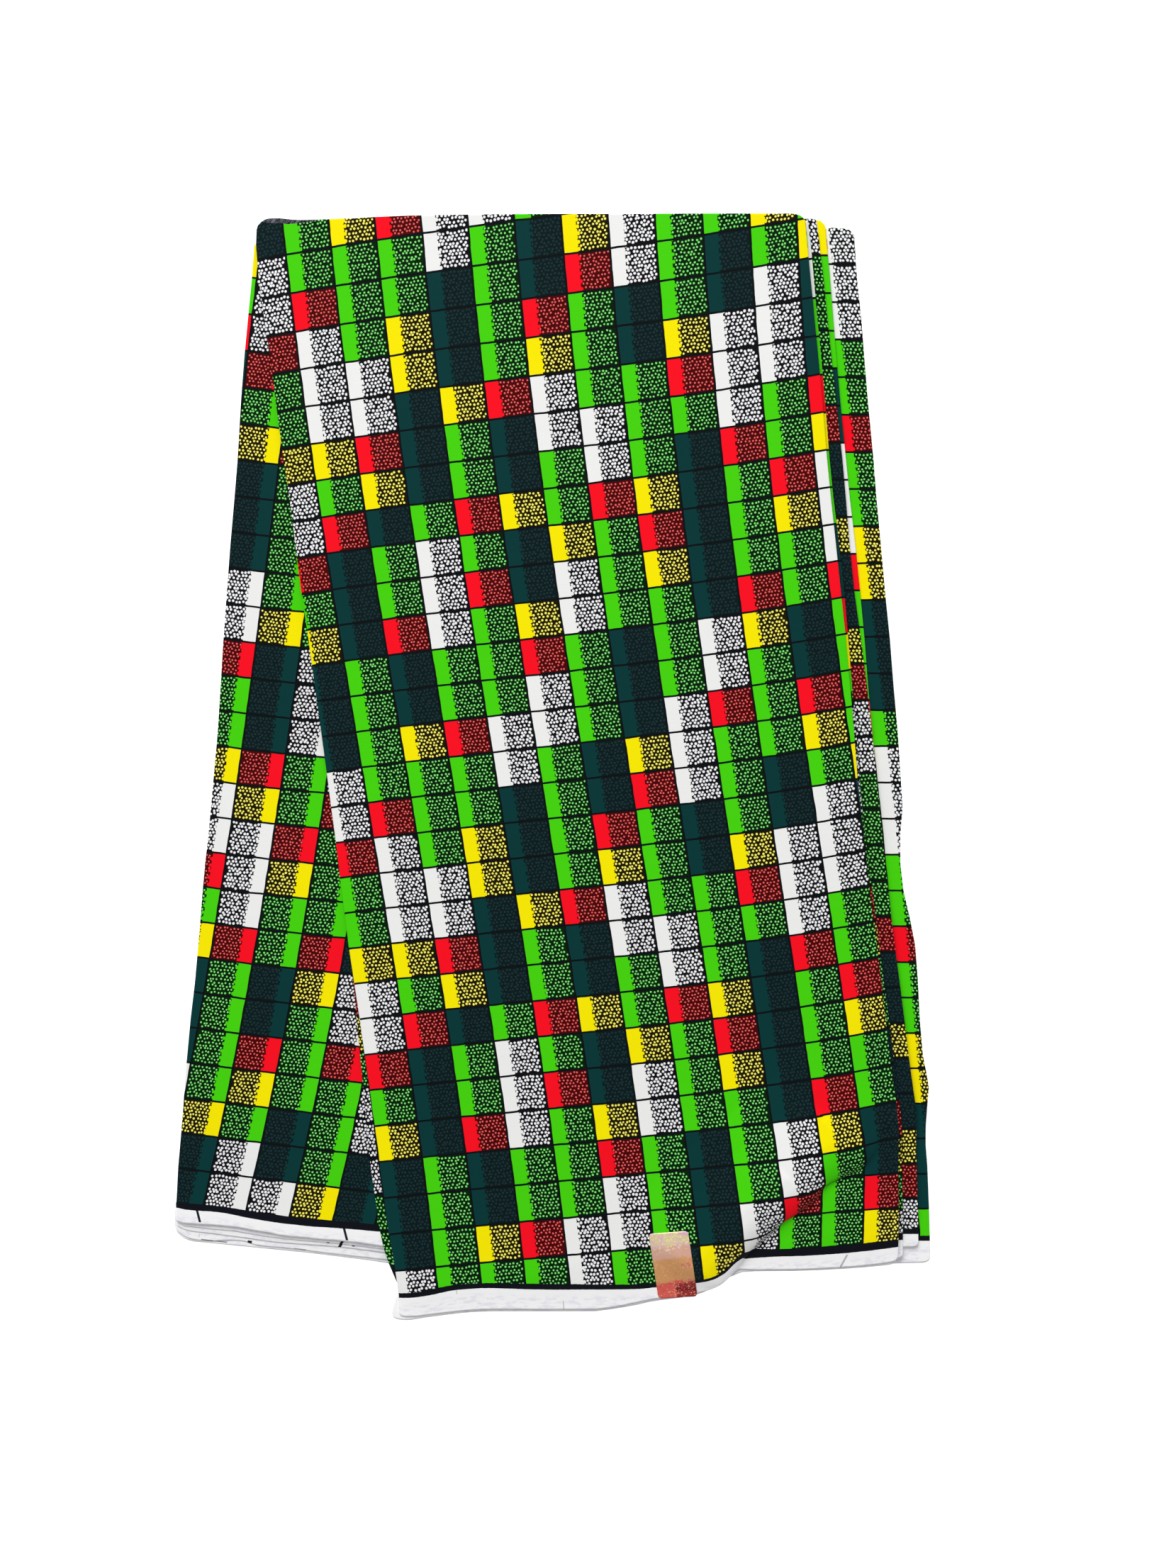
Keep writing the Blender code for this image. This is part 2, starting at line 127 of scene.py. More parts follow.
# The dark border line above the front's selvedge, on the body and on the flap past the ripple.
BORDER = "x body_top body_foot flap_top flap_foot".split()
BORDERS = np.array([
    (-86.0, -282.2, -284.9, -255.4, -262.0),
    (-79.9, -282.0, -284.8, -255.4, -262.0),
    (-74.1, -281.3, -284.2, -255.4, -262.0),
    (-70.2, -280.5, -283.6, -255.4, -262.0),
    (-65.8, -279.4, -282.8, -255.4, -262.0),
    (-61.8, -278.6, -281.8, -255.4, -262.0),
    (-54.6, -277.1, -280.2, -255.4, -262.0),
    (-46.8, -276.4, -279.4, -255.4, -262.0),
    (-39.1, -276.0, -278.9, -255.4, -262.0),
    (-31.3, -275.9, -278.9, -255.4, -262.0),
    (-13.6, -276.1, -279.4, -255.4, -262.0),
    (3.7, -276.2, -279.5, -255.4, -262.0),
    (27.0, -276.3, -279.2, -255.4, -262.0),
    (38.6, -276.3, -279.1, -255.4, -262.0),
    (48.3, -276.2, -278.8, -255.4, -262.0),
    (54.6, -275.8, -278.0, -255.4, -262.0),
    (70.0, -274.6, -276.4, -255.4, -262.0),
    (79.6, -272.4, -274.1, -255.4, -262.0),
    (88.4, -269.4, -271.2, -255.4, -262.0),
    (93.7, -266.0, -268.2, -255.4, -262.0),
    (98.9, -260.4, -262.8, -255.4, -261.9),
    (103.4, -256.6, -259.6, -255.5, -261.6),
    (107.0, -256.4, -261.4, -255.6, -261.2),
    (112.0, -256.4, -261.6, -255.7, -260.8),
    (121.9, -256.6, -261.6, -255.9, -260.1),
    (136.3, -256.6, -261.6, -255.4, -259.6),
    (146.8, -256.6, -261.6, -255.0, -258.9),
    (160.6, -256.6, -261.6, -253.4, -257.8),
    (173.3, -256.6, -261.6, -251.7, -256.4),
    (188.1, -256.6, -261.6, -250.2, -254.4),
    (196.0, -256.6, -261.6, -249.4, -253.4),
])

# The lower edge of the dark strip where the border shows at the front's top left.
HEAD_BAND = [(-154.0, 293.4), (-150.7, 292.4), (-147.6, 291.8), (-143.9, 291.6), (-140.2, 291.8), (-138.7, 291.1),
             (-135.7, 291.4), (-132.7, 291.7), (-126.0, 292.2), (-121.0, 293.6)]

LEFT_TOP = [(-154.6, 281.6), (-153.2, 284.4), (-150.4, 286.4), (-147.0, 287.0), (-126.0, 286.5)]
LEFT_FOOT = [
    (-207.2, -240.8), (-206.4, -242.9), (-202.5, -244.0), (-186.9, -244.8), (-171.4, -246.4), (-163.6, -248.0),
    (-155.9, -249.2), (-148.1, -251.0), (-136.5, -251.9), (-128.7, -252.8), (-117.0, -253.7), (-109.3, -254.5),
    (-101.5, -255.6), (-93.7, -256.8), (-64.0, -260.2),
]
LEFT_BORDER_TOP = [
    (-206.0, -232.4), (-198.3, -232.7), (-190.5, -233.3), (-178.9, -234.7), (-168.0, -236.5), (-159.5, -238.1),
    (-147.9, -240.1), (-132.4, -241.1), (-120.7, -242.2), (-109.1, -243.1), (-97.4, -244.4), (-64.0, -248.0),
]
LEFT_BORDER_FOOT = [
    (-206.1, -235.1), (-201.4, -236.2), (-194.5, -236.8), (-186.7, -237.2), (-178.9, -238.2), (-168.1, -240.6),
    (-155.7, -242.8), (-147.9, -243.9), (-132.4, -245.6), (-120.8, -246.3), (-109.1, -247.2), (-94.3, -248.6),
    (-64.0, -252.0),
]

# The stacked selvedges below the left stretch, from the highest layer to the lowest.
SELVEDGE_LAYERS = [  # name, node, top of the layer, foot line
    ("selvedge_layer_1", "left_selvedge_upper", 5.6, [
        (-207.4, -241.4), (-206.4, -243.9), (-203.8, -245.7), (-190.0, -247.4), (-176.0, -248.6),
        (-160.0, -251.4), (-146.0, -253.4), (-127.0, -255.1), (-110.0, -256.8), (-94.0, -258.9),
        (-72.0, -261.4),
    ]),
    ("selvedge_layer_2", "left_selvedge_upper", 5.18, [
        (-207.8, -242.8), (-207.0, -245.6), (-204.8, -247.4), (-199.0, -249.0), (-187.3, -250.4),
        (-171.8, -252.4), (-156.2, -254.8), (-148.4, -255.6), (-128.9, -257.0), (-117.3, -257.9),
        (-109.5, -258.9), (-93.9, -261.0), (-72.0, -264.0),
    ]),
    ("selvedge_layer_3", "left_selvedge_lower", 4.7, [
        (-208.1, -244.6), (-207.2, -248.6), (-205.1, -250.9), (-200.8, -253.1), (-195.4, -254.3),
        (-187.6, -254.7), (-179.8, -254.3), (-173.9, -254.2), (-170.0, -254.7), (-167.3, -255.7),
        (-163.4, -257.1), (-156.4, -257.9), (-148.6, -258.5), (-136.9, -259.9), (-125.2, -261.5),
        (-109.6, -263.3), (-92.1, -265.4), (-72.0, -267.4),
    ]),
    ("selvedge_layer_4", "left_selvedge_lower", 4.28, [
        (-208.4, -246.4), (-207.7, -248.8), (-206.5, -250.9), (-204.6, -252.6), (-202.3, -253.9),
        (-198.8, -255.0), (-187.9, -256.0), (-180.1, -256.8), (-172.3, -257.6), (-164.5, -258.4),
        (-148.9, -260.0), (-133.3, -261.6), (-117.6, -263.6), (-102.0, -265.6), (-92.3, -267.1),
        (-72.0, -268.6),
    ]),
]

# Small dark marks on the stacked selvedges: layer, place, half width, half length, slant, strength.
MARKS = [
    (0, -116.6, -255.4, 0.85, 1.2, -0.45, 1.0),
    (1, -117.2, -256.9, 0.85, 1.0, -0.45, 1.0),
    (2, -167.2, -255.1, 1.25, 0.75, 0.0, 1.0),
    (2, -194.9, -251.4, 0.22, 1.0, 0.1, 0.35),
    (2, -190.5, -254.1, 3.60, 0.30, 0.0, 0.75),
    (2, -139.6, -259.1, 3.40, 0.22, 0.0, 0.60),
]
# The same on the front's selvedge, with whether it lies past the ripple first.
FRONT_MARKS = [
    (True, 158.4, -262.3, 0.62, 3.4, 0.54, 0.50),
    (False, 5.6, -288.7, 0.22, 2.4, 0.0, 0.50),
    (False, -53.0, -281.1, 0.24, 1.2, 0.0, 0.40),
]

RIGHT = {  # fold: node, top of the node, top outline, foot line, border top, border foot
    "inner_fold": ("right_stretch_inner", 11.6,
                   [(108.0, 293.4), (132.8, 293.4), (133.5, 292.5), (133.9, 290.7), (134.0, 289.2)],
                   [(165.0, -262.3), (178.0, -262.6), (189.0, -262.2), (190.8, -261.0), (191.3, -259.0)],
                   -247.8, -251.9),
    "middle_fold": ("right_stretch_middle", 10.1,
                    [(108.0, 293.6), (133.3, 294.1), (135.2, 294.2), (137.4, 294.0), (138.3, 293.2), (138.7, 291.8),
                     (138.9, 290.0)],
                    [(165.0, -256.6), (182.0, -256.4), (197.0, -256.4), (199.2, -255.8), (200.0, -254.2)],
                    -246.0, -249.1),
    "lower_fold": ("right_stretch_lower", 8.6,
                   [(108.0, 293.6), (139.5, 293.9), (141.0, 293.3), (142.3, 292.2), (143.0, 290.8), (143.4, 288.9)],
                   [(165.0, -256.6), (182.0, -256.2), (195.4, -255.8), (197.8, -254.8), (198.6, -252.8)],
                   -247.2, -250.2),
    "outer_fold": ("right_stretch_outer", 7.1,
                   [(108.0, 290.0), (143.8, 290.3), (149.4, 290.3), (153.9, 289.9), (156.5, 289.0), (158.2, 287.2),
                    (158.9, 285.0)],
                   [(165.0, -266.8), (190.0, -266.3), (203.5, -265.9), (206.3, -264.8), (207.2, -262.0)],
                   -250.7, -253.6),
}

# The diagonal ripple at the lower right of the front: its foot line, the height of its crest there,
# and how far the crest leans over its foot.
RIPPLE = np.array([  # x, y, height, lean
    (197.0, -150.0, 0.0, 0.00),
    (188.5, -171.0, 0.2, 0.10),
    (183.6, -183.6, 0.9, 0.20),
    (179.4, -194.8, 2.0, 0.30),
    (174.0, -204.6, 3.2, 0.45),
    (167.1, -211.2, 4.0, 0.60),
    (155.4, -217.2, 4.9, 0.80),
    (147.7, -221.9, 5.6, 0.95),
    (143.2, -228.4, 6.0, 1.00),
    (134.3, -235.3, 6.4, 1.00),
    (125.4, -241.6, 6.5, 1.00),
    (116.0, -250.0, 6.4, 1.00),
    (109.0, -256.6, 6.1, 1.00),
    (102.6, -265.0, 5.6, 0.92),
    (95.0, -276.0, 5.0, 0.80),
])
RIPPLE_SECTION = np.array([  # along the cloth from the foot line, moved along the normal, share of the height
    (-6.0, 0.0, 0.0),
    (-2.2, 0.3, 0.0),
    (-0.7, 0.7, 0.02),
    (0.6, 0.4, 0.10),
    (1.8, -0.6, 0.26),
    (3.2, -1.2, 0.42),
    (5.2, -1.1, 0.61),
    (8.0, -0.7, 0.81),
    (11.0, -0.3, 0.94),
    (14.5, 0.0, 1.0),
    (21.0, 0.0, 0.96),
    (33.0, 0.0, 0.66),
    (48.0, 0.0, 0.27),
    (66.0, 0.0, 0.0),
])

# Soft folds laid in one by one: two ends, half width, height (below zero is a trough).
SOFT = {
    "front": [  # x0, y0, x1, y1, half_width, height
        (152, -148, 44, -236, 24, 0.49),
        (186, -214, 128, -259, 9, -0.26),
        (178, -236, 116, -262, 6, 0.23),
        (84, -258, -30, -270, 9, 0.29),
        (-124, 120, -100, -40, 11, -0.20),
        (-104, -60, -72, -232, 12, 0.27),
        (-66, 214, -30, 62, 15, 0.26),
        (-12, 262, 8, 150, 9, -0.17),
        (36, 130, 66, -52, 17, 0.30),
        (-34, -40, -8, -196, 14, -0.21),
        (96, 70, 118, -96, 12, -0.20),
        (108, 262, 132, 128, 9, 0.27),
        (138, 60, 152, -70, 7, 0.22),
        (18, -96, 58, -204, 16, 0.22),
        (-58, -236, -42, -288, 7, 0.20),
        (6, -250, 16, -289, 6, -0.14),
    ],
    "left": [
        (-158, 190, -166, 40, 7, 0.20),
        (-160, -20, -176, -170, 10, 0.27),
        (-134, -80, -140, -210, 8, -0.17),
        (-188, -150, -196, -232, 6, 0.23),
        (-120, -176, -116, -250, 7, 0.20),
    ],
    "right": [
        (166, 200, 172, 90, 5, 0.20),
        (182, 20, 184, -60, 4, -0.20),
        (196, -110, 200, -220, 4, 0.20),
    ],
}

# Where the blocks of the print fall: c counts blocks across and r along, at x and y in units of 100 mm.
FRONT_C = (4.2526, 4.1901, 0.6613, -0.0069, -0.0016, -0.0083, 0.0024, -0.0024, -0.0106, -0.0127)
FRONT_R = (20.9488, 0.5502, -5.1505, 0.0091, 0.0259, -0.0169, 0.0436, -0.0006, -0.0024, 0.0149)
FLAP_C = (2.5155, 4.3899, -0.0361)
FLAP_R = (21.0468, 0.4155, -5.2408)
LEFT_C = (7.8468, 5.9987, -0.7695, 1.3848, -0.1685, 0.0415, 0.3427, -0.0667, -0.0026, -0.0083)
LEFT_R = (-4.741, -0.2427, -4.9613, -0.0226, 0.3063, -0.0446, -0.0566, 0.1025, -0.0133, 0.0049)

# The block colours, charted: green, kelp, white, red, yellow. Each line runs down one column of blocks.
CHART = """
KKKGGGGRWWWYGR
GGRKKYGGGWWRYK
WWWGGRGGYYKKKG
GRGGGWWKKKYGGR
KKYRWWGGGGRKKY
YWWGGGKKRYWWGG
GGGKKKYRGGGWWR
RYGGGWWWKKGGGY
KKKWWRGGGYRGKK
GGRYGGGKKWWWRG
YGGKKRYGWWWGGR
WWRGGGGYKKKRYW
RGYKKKWWRGGYWG
""".split()
INKS = "GKWRY"
INK_COLOURS = {  # solid, dot centre, dot edge, net
    "G": ((71, 215, 12), (152, 236, 140), (70, 190, 62), (2, 34, 5)),
    "K": ((6, 57, 57), (31, 53, 54), (21, 43, 45), (7, 27, 30)),
    "W": ((244, 244, 242), (252, 252, 253), (230, 230, 234), (12, 12, 15)),
    "R": ((255, 14, 34), (244, 112, 108), (182, 40, 40), (74, 2, 5)),
    "Y": ((254, 238, 0), (255, 248, 146), (240, 226, 40), (26, 22, 2)),
}
DOT_MORE = {"G": 0.015, "K": 0.09, "W": 0.165, "R": 0.0, "Y": 0.055}  # how much the dots of an ink spread
LINE = (10, 15, 18)
BORDER_INK = (15, 18, 26)
WHITE = (254, 254, 255)


def linear(rgb, a=1.0):
    def one(v):
        v /= 255.0
        return v / 12.92 if v <= 0.04045 else ((v + 0.055) / 1.055) ** 2.4
    return (*(one(v) for v in rgb), a)


# ---------------------------------------------------------------- plan and height

def at(column, y):
    """The fold or edge at y, run on in a straight line above the first row."""
    k = COLUMNS.index(column)
    ys, xs = SECTIONS[::-1, 0], SECTIONS[::-1, k]
    y = np.asarray(y, float)
    out = np.interp(y, ys, xs)
    rise = (xs[-1] - xs[-2]) / (ys[-1] - ys[-2])
    return np.where(y > ys[-1], xs[-1] + (y - ys[-1]) * rise, out)


def line_at(points, v, key=0):
    """The other coordinate of a polyline at v."""
    p = np.array(sorted(points, key=lambda q: q[key]), float)
    return np.interp(v, p[:, key], p[:, 1 - key])


def ease(t):
    t = np.clip(t, 0.0, 1.0)
    return t * t * (3.0 - 2.0 * t)


def spline_through(rows, n):
    """Rows resampled on a Catmull-Rom curve through them."""
    rows = np.asarray(rows, float)
    far = np.r_[0, np.cumsum(np.hypot(*np.diff(rows[:, :2], axis=0).T))]
    ends = np.vstack([2 * rows[0] - rows[1], rows, 2 * rows[-1] - rows[-2]])
    out = []
    for s in np.linspace(0, far[-1], n):
        k = min(len(rows) - 2, int(np.searchsorted(far, s, side="right") - 1))
        t = (s - far[k]) / (far[k + 1] - far[k])
        a, b, c, d = ends[k:k + 4]
        out.append(0.5 * (2 * b + (c - a) * t + (2 * a - 5 * b + 4 * c - d) * t * t
                          + (3 * b - a - 3 * c + d) * t ** 3))
    return np.array(out)


RIPPLE_LINE = spline_through(RIPPLE, 260)
_way = np.gradient(RIPPLE_LINE[:, :2], axis=0)
_way /= np.hypot(_way[:, 0], _way[:, 1])[:, None]
RIPPLE_NORMAL = np.c_[_way[:, 1], -_way[:, 0]]


def ripple_place(x, y):
    """For each point: its distance from the ripple's foot line, the normal there, height, lean, and a fade past the ends."""
    shape = x.shape
    p = np.c_[x.ravel(), y.ravel()]
    best = np.empty(len(p), int)
    for s in range(0, len(p), 20000):
        d = p[s:s + 20000, None, :] - RIPPLE_LINE[None, :, :2]
        best[s:s + 20000] = (d ** 2).sum(2).argmin(1)
    off = p - RIPPLE_LINE[best, :2]
    nx, ny = RIPPLE_NORMAL[best].T
    far = off[:, 0] * nx + off[:, 1] * ny
    along = np.abs(off[:, 0] * ny - off[:, 1] * nx)
    end = (best == 0) | (best == len(RIPPLE_LINE) - 1)
    fade = np.where(end, np.exp(-(along / 9.0) ** 2), 1.0)
    pick = [far, nx, ny, RIPPLE_LINE[best, 2], RIPPLE_LINE[best, 3], fade]
    return [v.reshape(shape) for v in pick]


def under_front(x, y):
    left = at("cut_edge", y) + TUCK_LEFT
    right = at("front_fold", y) - TUCK_RIGHT
    low = STACK_TOP + 0.3 + STEP
    return low + 3 * STEP * np.clip((x - left) / (right - left), 0.0, 1.0)


def rolls(x, y, size, seed):
    """Slow uneven rise and fall of cloth that lies loose, from -1 to 1."""
    out = np.empty(x.size)
    for i, (a, b) in enumerate(zip(x.ravel(), y.ravel())):
        out[i] = noise.noise(Vector((a / size, b / (size * 1.5), seed))) + 0.45 * noise.noise(
            Vector((a / size * 2.3, b / size * 1.6, seed + 7.0)))
    return out.reshape(x.shape)


def soft_folds(x, y, rows):
    out = np.zeros_like(x)
    for x0, y0, x1, y1, half, height in rows:
        dx, dy = x1 - x0, y1 - y0
        long = math.hypot(dx, dy)
        s = ((x - x0) * dx + (y - y0) * dy) / long ** 2
        side = ((x - x0) * dy - (y - y0) * dx) / long
        side = side + 0.10 * half * np.sin(s * 7.0 + x0)
        taper = ease((s + 0.12) / 0.5) * ease((1.12 - s) / 0.5)
        out += height * taper * np.exp(-(side / half) ** 2)
    return out


def poly(k, x, y):
    x, y = x / 100.0, y / 100.0
    terms = (1.0, x, y, x * x, x * y, y * y, x ** 3, x * x * y, x * y * y, y ** 3)
    return sum(a * t for a, t in zip(k, terms))


# ---------------------------------------------------------------- meshes

def fold_steps(reach, back, bend=BEND):
    """Across a pressed fold, from the flat cloth round to the underside: plan distance from the outline,
    drop, and the distance that the cloth would have if it were opened flat."""
    out = [(bend + e, 0.0, bend + e) for e in (reach - bend, 2.6, 1.4, 0.6, 0.0)]
    for deg in (70, 50, 30, 12, -8, -30, -52, -74, -90):
        t = math.radians(deg)
        out.append((bend * (1 - math.cos(t)), bend * (1 - math.sin(t)), bend - bend * (math.pi / 2 - t)))
    out += [(bend + e, 2 * bend, bend - math.pi * bend - e) for e in (1.6, 4.5, back)]
    return out


def stations(edges, low_fold=None, high_fold=None):
    """Grid stations: share between the two outlines, offset from there, drop, and the opened-out offset.
    edges are shares of the flat cloth between the folds."""
    wl = low_fold[0][0] if low_fold else 0.0
    wh = high_fold[0][0] if high_fold else 0.0
    out = []
    if low_fold:
        out += [(0.0, a, d, u) for a, d, u in reversed(low_fold[1:])]
    out += [(f, wl * (1 - f) - wh * f, 0.0, wl * (1 - f) - wh * f) for f in edges]
    if high_fold:
        out += [(1.0, -a, d, -u) for a, d, u in high_fold[1:]]
    return np.array(out)


def spread(length, *parts):
    """Shares from 0 to 1, with a spacing for each stretch: parts are (up to this mm, spacing)."""
    marks, here = [0.0], 0.0
    for upto, spacing in parts:
        n = max(1, round((upto - here) / spacing))
        marks += [here + (upto - here) * i / n for i in range(1, n + 1)]
        here = upto
    return np.array(marks) / length


def lay(cols, rows, left, right, foot, top):
    """Plan places of a grid between four outlines, and the same with its folds opened flat."""
    f, fo, fd, fu = (cols[:, i][None, :] for i in range(4))
    g, go, gd, gu = (rows[:, i][:, None] for i in range(4))
    x = np.zeros((rows.shape[0], cols.shape[0])) + f * 100
    y = np.zeros_like(x) + (g - 0.5) * 500
    for _ in range(40):
        x = 0.4 * x + 0.6 * (left(y) * (1 - f) + right(y) * f + fo)
        y = 0.4 * y + 0.6 * (foot(x) * (1 - g) + top(x) * g + go)
    drop = (fd ** 3 + gd ** 3) ** (1 / 3)
    return x, y, drop, x - fo + fu, y - go + gu


def facing(p):
    """Unit normals of a grid of points."""
    a, b, c, d = p[:-1, :-1], p[:-1, 1:], p[1:, 1:], p[1:, :-1]
    n = np.cross(c - a, d - b)
    n /= np.maximum(np.linalg.norm(n, axis=2, keepdims=True), 1e-9)
    out = np.zeros_like(p)
    out[:-1, :-1] += n
    out[:-1, 1:] += n
    out[1:, 1:] += n
    out[1:, :-1] += n
    return out / np.maximum(np.linalg.norm(out, axis=2, keepdims=True), 1e-9)


def mesh_object(name, verts, faces, smooth, maps, material):
    mesh = bpy.data.meshes.new(name)
    mesh.from_pydata((verts * MM).tolist(), [], faces)
    mesh.polygons.foreach_set("use_smooth", smooth)
    corners = np.empty(len(mesh.loops), np.int32)
    mesh.loops.foreach_get("vertex_index", corners)
    for map_name, values in maps.items():
        layer = mesh.uv_layers.new(name=map_name)
        layer.data.foreach_set("uv", values[corners].astype(np.float32).ravel())
    mesh.materials.append(material)
    mesh.update()
    ob = bpy.data.objects.new(name, mesh)
    bpy.context.scene.collection.objects.link(ob)
    return ob


def shell(name, p, c, r, d1, d2, material, thick=CLOTH):
    """A closed thin shell whose printed face is the grid p."""
    rows, cols = p.shape[:2]
    n = rows * cols
    q = p - facing(p) * thick
    verts = np.concatenate([p.reshape(-1, 3), q.reshape(-1, 3)])
    i = np.arange(n).reshape(rows, cols)
    quads = np.stack([i[:-1, :-1], i[:-1, 1:], i[1:, 1:], i[1:, :-1]], 2).reshape(-1, 4)
    faces = quads.tolist() + (quads[:, ::-1] + n).tolist()
    flat = []
    for line in (i[0, :], i[:, -1], i[-1, ::-1], i[::-1, 0]):
        flat += [(int(b), int(a), int(a) + n, int(b) + n) for a, b in zip(line, line[1:])]
    smooth = [True] * len(faces) + [False] * len(flat)
    block = np.c_[c.ravel(), r.ravel()]
    edge = np.c_[d1.ravel(), d2.ravel()]
    maps = {"print": np.concatenate([block, block]), "edge": np.concatenate([edge, edge])}
    return mesh_object(name, verts, faces + flat, smooth, maps, material)


# ---------------------------------------------------------------- materials

class Tree:
    """Short calls for building a node tree."""

    def __init__(self, name):
        self.material = bpy.data.materials.new(name)
        self.material.use_nodes = True
        self.tree = self.material.node_tree
        self.shader = self.tree.nodes["Principled BSDF"]

    def node(self, kind, **settings):
        n = self.tree.nodes.new(kind)
        for k, v in settings.items():
            setattr(n, k, v)
        return n

    def put(self, socket, value):
        if isinstance(value, bpy.types.NodeSocket):
            self.tree.links.new(value, socket)
        else:
            socket.default_value = value

    def math(self, operation, *values, clamp=False):
        n = self.node("ShaderNodeMath", operation=operation, use_clamp=clamp)
        for socket, v in zip(n.inputs, values):
            self.put(socket, v)
        return n.outputs[0]

    def step(self, value, low, high):
        """0 below low, 1 above high, soft between; low may be above high."""
        n = self.node("ShaderNodeMapRange", interpolation_type="SMOOTHSTEP", clamp=True)
        flip = low > high
        for socket, v in zip(n.inputs, (value, min(low, high), max(low, high), float(flip), float(not flip))):
            self.put(socket, v)
        return n.outputs[0]

    def mix(self, factor, a, b, blend="MIX"):
        n = self.node("ShaderNodeMix", data_type="RGBA", blend_type=blend)
        self.put(n.inputs[0], factor)
        self.put(n.inputs[6], a)
        self.put(n.inputs[7], b)
        return n.outputs[2]

    def uv(self, name):
        n = self.node("ShaderNodeUVMap", uv_map=name)
        s = self.node("ShaderNodeSeparateXYZ")
        self.tree.links.new(n.outputs[0], s.inputs[0])
        return s.outputs[0], s.outputs[1]

    def vector(self, x, y, z=0.0):
        n = self.node("ShaderNodeCombineXYZ")
        for socket, v in zip(n.inputs, (x, y, z)):
            self.put(socket, v)
        return n.outputs[0]

    def noise(self, vector, scale, detail=2.0, rough=0.5, dimensions="3D"):
        n = self.node("ShaderNodeTexNoise", noise_dimensions=dimensions)
        self.put(n.inputs["Vector"], vector)
        n.inputs["Scale"].default_value = scale
        n.inputs["Detail"].default_value = detail
        n.inputs["Roughness"].default_value = rough
        return n.outputs[0]

    def steps(self, factor, colours):
        """A ramp of even steps, no blending."""
        n = self.node("ShaderNodeValToRGB")
        n.color_ramp.interpolation = "CONSTANT"
        e = n.color_ramp.elements
        e[0].position, e[0].color = 0.0, colours[0]
        e[1].position, e[1].color = 1.0 / len(colours), colours[1]
        for i, colour in enumerate(colours[2:], 2):
            e.new(i / len(colours)).color = colour
        self.put(n.inputs[0], factor)
        return n.outputs[0]


DOT_GAP = 2.0  # from dot to dot across, mm
DOT_ROW = 1.78  # from one row of dots to the next
DOT_FIRST = (9.0, 1.68)  # the first dot of a block, from its lines


def dot_places(t, i, j, u, v, half):
    """One of the two sets of rows that pack the dots of a block: distance to the nearest dot, its centre, and a number
    of its own."""
    tall = 2 * DOT_ROW
    a = t.math("ROUND", t.math("SUBTRACT", t.math("DIVIDE", t.math("SUBTRACT", u, DOT_FIRST[0]), DOT_GAP), half))
    b = t.math("ROUND", t.math("SUBTRACT", t.math("DIVIDE", t.math("SUBTRACT", v, DOT_FIRST[1]), tall), half))
    a, b = t.math("ADD", a, half), t.math("ADD", b, half)
    own = t.node("ShaderNodeTexWhiteNoise", noise_dimensions="2D")
    t.put(own.inputs["Vector"], t.vector(t.math("ADD", t.math("MULTIPLY", i, 37.0), a), t.math("ADD", t.math("MULTIPLY", j, 41.0), b)))
    rgb = t.node("ShaderNodeSeparateColor")
    t.tree.links.new(own.outputs["Color"], rgb.inputs[0])
    cu = t.math("ADD", t.math("ADD", t.math("MULTIPLY", a, DOT_GAP), DOT_FIRST[0]),
                t.math("MULTIPLY", t.math("SUBTRACT", rgb.outputs[0], 0.5), 0.74))
    cv = t.math("ADD", t.math("ADD", t.math("MULTIPLY", b, tall), DOT_FIRST[1]),
                t.math("MULTIPLY", t.math("SUBTRACT", rgb.outputs[1], 0.5), 0.86))
    du, dv = t.math("SUBTRACT", u, cu), t.math("SUBTRACT", v, cv)
    away = t.math("SQRT", t.math("ADD", t.math("MULTIPLY", du, du), t.math("MULTIPLY", dv, dv)))
    return away, cu, cv, rgb.outputs[2]


